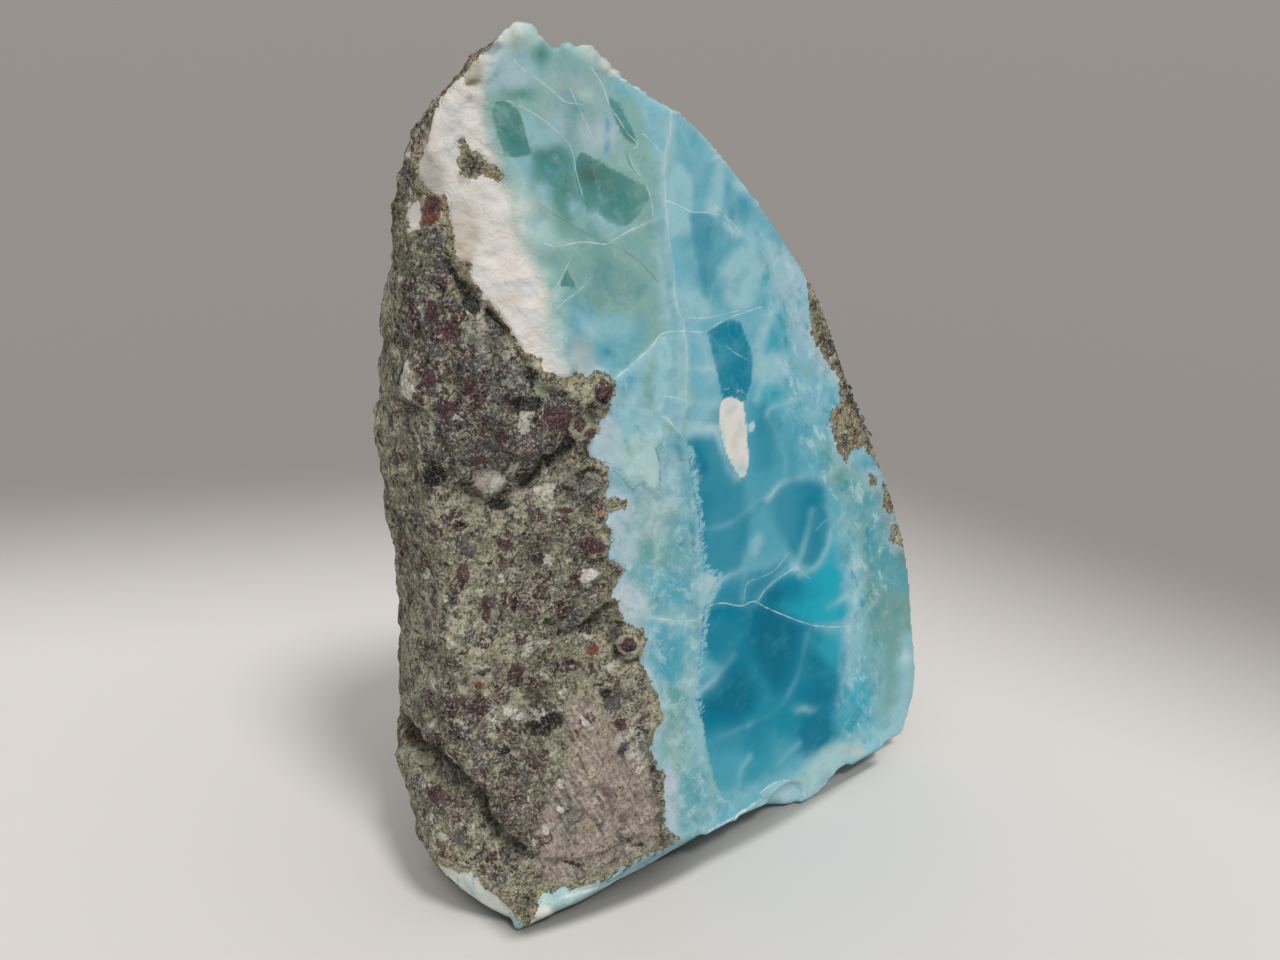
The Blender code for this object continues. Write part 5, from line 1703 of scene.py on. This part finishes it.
def shade_under_edge(n, x, y):
    """Share of the shadow painted on the floor under the stone's lower edge and its right-hand corner, from 0
    to 1; lengths are in metres.
    """
    far_bow = n.times(n.math("POWER", n.minus(x, 0.010), 2.0), 3.6)
    near_bow = n.plus(n.times(n.math("POWER", n.plus(x, 0.006), 2.0), 6.9), 0.0007)
    past = n.minus(y, n.minus(n.math("MINIMUM", far_bow, near_bow), 0.0219))
    under = n.times(n.ramp(past, -0.0007, 0.0015), n.plus(n.times(n.ramp(past, 0.0008, 0.005), 0.2), 0.74))
    front = n.ramp(y, 0.004, 0.0)
    ends = n.times(n.ramp(x, -0.0345, -0.030), n.ramp(x, 0.0325, 0.0285), front)
    lighter = n.minus(1.0, n.times(n.ramp(x, -0.014, 0.004), 0.3))
    corner = n.times(n.ramp(x, 0.0150, 0.0175), n.ramp(x, 0.0312, 0.0285), n.ramp(y, -0.0213, -0.0203), front)
    return n.math("MAXIMUM", n.times(under, ends, lighter), n.times(corner, 0.62))


def floor_material(stage):
    """Pale floor with a painted pool of light, darkening evenly outside it, and a painted shadow under the
    stone's edge.
    """
    material = bpy.data.materials.new("stage_floor")
    material.use_nodes = True
    n = Nodes(material.node_tree)
    place = n.add("ShaderNodeTexCoord").outputs["Object"]
    ends = [n.vector_math("DOT_PRODUCT", place, {1: across})["Value"] for across in LIGHT_ENDS]
    away = n.math("SMOOTH_MAX", *ends, LIGHT_CORNER)
    share = n.ramp(away, stage.light_edge - LIGHT_SOFT, stage.light_edge + LIGHT_SOFT)
    colour = n.mix(share, stage.floor, stage.surround)
    x, y, _ = n.parts(place)
    # the painted shadow under the stone's lower edge
    colour = n.mix(shade_under_edge(n, x, y), colour, stage.painted_edge_shadow)
    inputs = {"Base Color": colour, "Roughness": 0.7, "Specular IOR Level": 0.2}
    n.add("ShaderNodeOutputMaterial", {"Surface": n.add("ShaderNodeBsdfPrincipled", inputs).outputs[0]})
    return material


def world_light(stage):
    """Even light from all round; the camera sees the surround's colour behind the floor."""
    world = bpy.data.worlds.new("soft_surround")
    world.use_nodes = True
    n = Nodes(world.node_tree)
    light = n.add("ShaderNodeBackground", {"Color": SKY_TINT, "Strength": stage.sky})
    behind = n.add("ShaderNodeBackground", {"Color": (*linear(*BEHIND_TINT), 1.0), "Strength": 1.0})
    path = n.add("ShaderNodeLightPath").outputs["Is Camera Ray"]
    both = n.add("ShaderNodeMixShader", {0: path, 1: light.outputs[0], 2: behind.outputs[0]})
    n.add("ShaderNodeOutputWorld", {"Surface": both.outputs[0]})
    bpy.context.scene.world = world


def soft_lamp(stage):
    """The key light: even, and soft at the edge of its shadow."""
    lamp = bpy.data.lights.new("key", "SUN")
    lamp.energy, lamp.angle, lamp.color = stage.key, stage.key_spread, LAMP_TINT
    holder = bpy.data.objects.new("key", lamp)
    toward = Vector(LAMP_WAY)
    holder.location = toward * 0.5
    holder.rotation_mode = "QUATERNION"
    holder.rotation_quaternion = (-toward).to_track_quat("-Z", "Y")
    bpy.context.scene.collection.objects.link(holder)


def add_camera():
    """The camera at the view's own place."""
    camera = bpy.data.objects.new("camera", bpy.data.cameras.new("camera"))
    camera.data.lens, camera.data.sensor_width = LENS, SENSOR
    camera.data.clip_start = 0.01
    back, _, _ = view_axes()
    camera.location = Vector(CAMERA_PLACE) * MM
    camera.rotation_mode = "QUATERNION"
    camera.rotation_quaternion = (-Vector(back)).to_track_quat("-Z", "Y")
    bpy.context.scene.collection.objects.link(camera)
    bpy.context.scene.camera = camera


class LARIMAR_OT_stone(bpy.types.Operator):
    """Builds the stone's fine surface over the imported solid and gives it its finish"""

    bl_idname = "larimar.stone"
    bl_label = "Stone"

    def execute(self, context):
        scene = context.scene
        mesh = build_surface(scene.larimar_sizes, scene.larimar_tones)
        stone = bpy.data.objects.new("rough_larimar", mesh)
        scene.collection.objects.link(stone)
        mesh.materials.append(stone_material(scene.larimar_tones))
        mesh.shade_smooth()
        count = sum(len(face.vertices) - 2 for face in mesh.polygons)
        if not FEWEST_TRIANGLES < count < MOST_TRIANGLES:
            raise RuntimeError(f"the stone has {count} triangles")
        print("triangles", count)
        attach(stone, "root")
        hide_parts(NODE)
        return {"FINISHED"}


class LARIMAR_OT_stage(bpy.types.Operator):
    """Adds the pale floor, the soft light and the camera"""

    bl_idname = "larimar.stage"
    bl_label = "Stage"

    def execute(self, context):
        stage = context.scene.larimar_stage
        rim = bmesh.new()
        bmesh.ops.create_circle(rim, cap_ends=True, segments=FLOOR_SIDES, radius=FLOOR_RADIUS)
        data = bpy.data.meshes.new("floor")
        rim.to_mesh(data)
        rim.free()
        floor = bpy.data.objects.new("floor", data)
        data.materials.append(floor_material(stage))
        context.scene.collection.objects.link(floor)
        world_light(stage)
        soft_lamp(stage)
        context.scene.view_settings.view_transform = "Standard"
        context.scene.view_settings.look = "None"
        add_camera()
        return {"FINISHED"}


class LARIMAR_PT_panel(bpy.types.Panel):
    """Lists the stone, its sizes and colours, and the stage"""

    bl_label = "Larimar"
    bl_idname = "LARIMAR_PT_panel"
    bl_space_type = "VIEW_3D"
    bl_region_type = "UI"
    bl_category = "Larimar"

    def draw(self, context):
        scene = context.scene
        for operator, group in (
            (LARIMAR_OT_stone, scene.larimar_sizes),
            (None, scene.larimar_tones),
            (LARIMAR_OT_stage, scene.larimar_stage),
        ):
            box = self.layout.box()
            if operator:
                box.operator(operator.bl_idname)
            for key in type(group).__annotations__:
                box.prop(group, key)


CLASSES = (LarimarTones, LarimarSizes, LarimarStage, LARIMAR_OT_stone, LARIMAR_OT_stage, LARIMAR_PT_panel)


def register():
    for each in CLASSES:
        bpy.utils.register_class(each)
    bpy.types.Scene.larimar_tones = PointerProperty(type=LarimarTones)
    bpy.types.Scene.larimar_sizes = PointerProperty(type=LarimarSizes)
    bpy.types.Scene.larimar_stage = PointerProperty(type=LarimarStage)


def unregister():
    del bpy.types.Scene.larimar_stage
    del bpy.types.Scene.larimar_sizes
    del bpy.types.Scene.larimar_tones
    for each in reversed(CLASSES):
        bpy.utils.unregister_class(each)


def main():
    """Builds everything in order."""
    register()
    bpy.ops.larimar.stone()
    bpy.ops.larimar.stage()


if __name__ == "__main__":
    main()
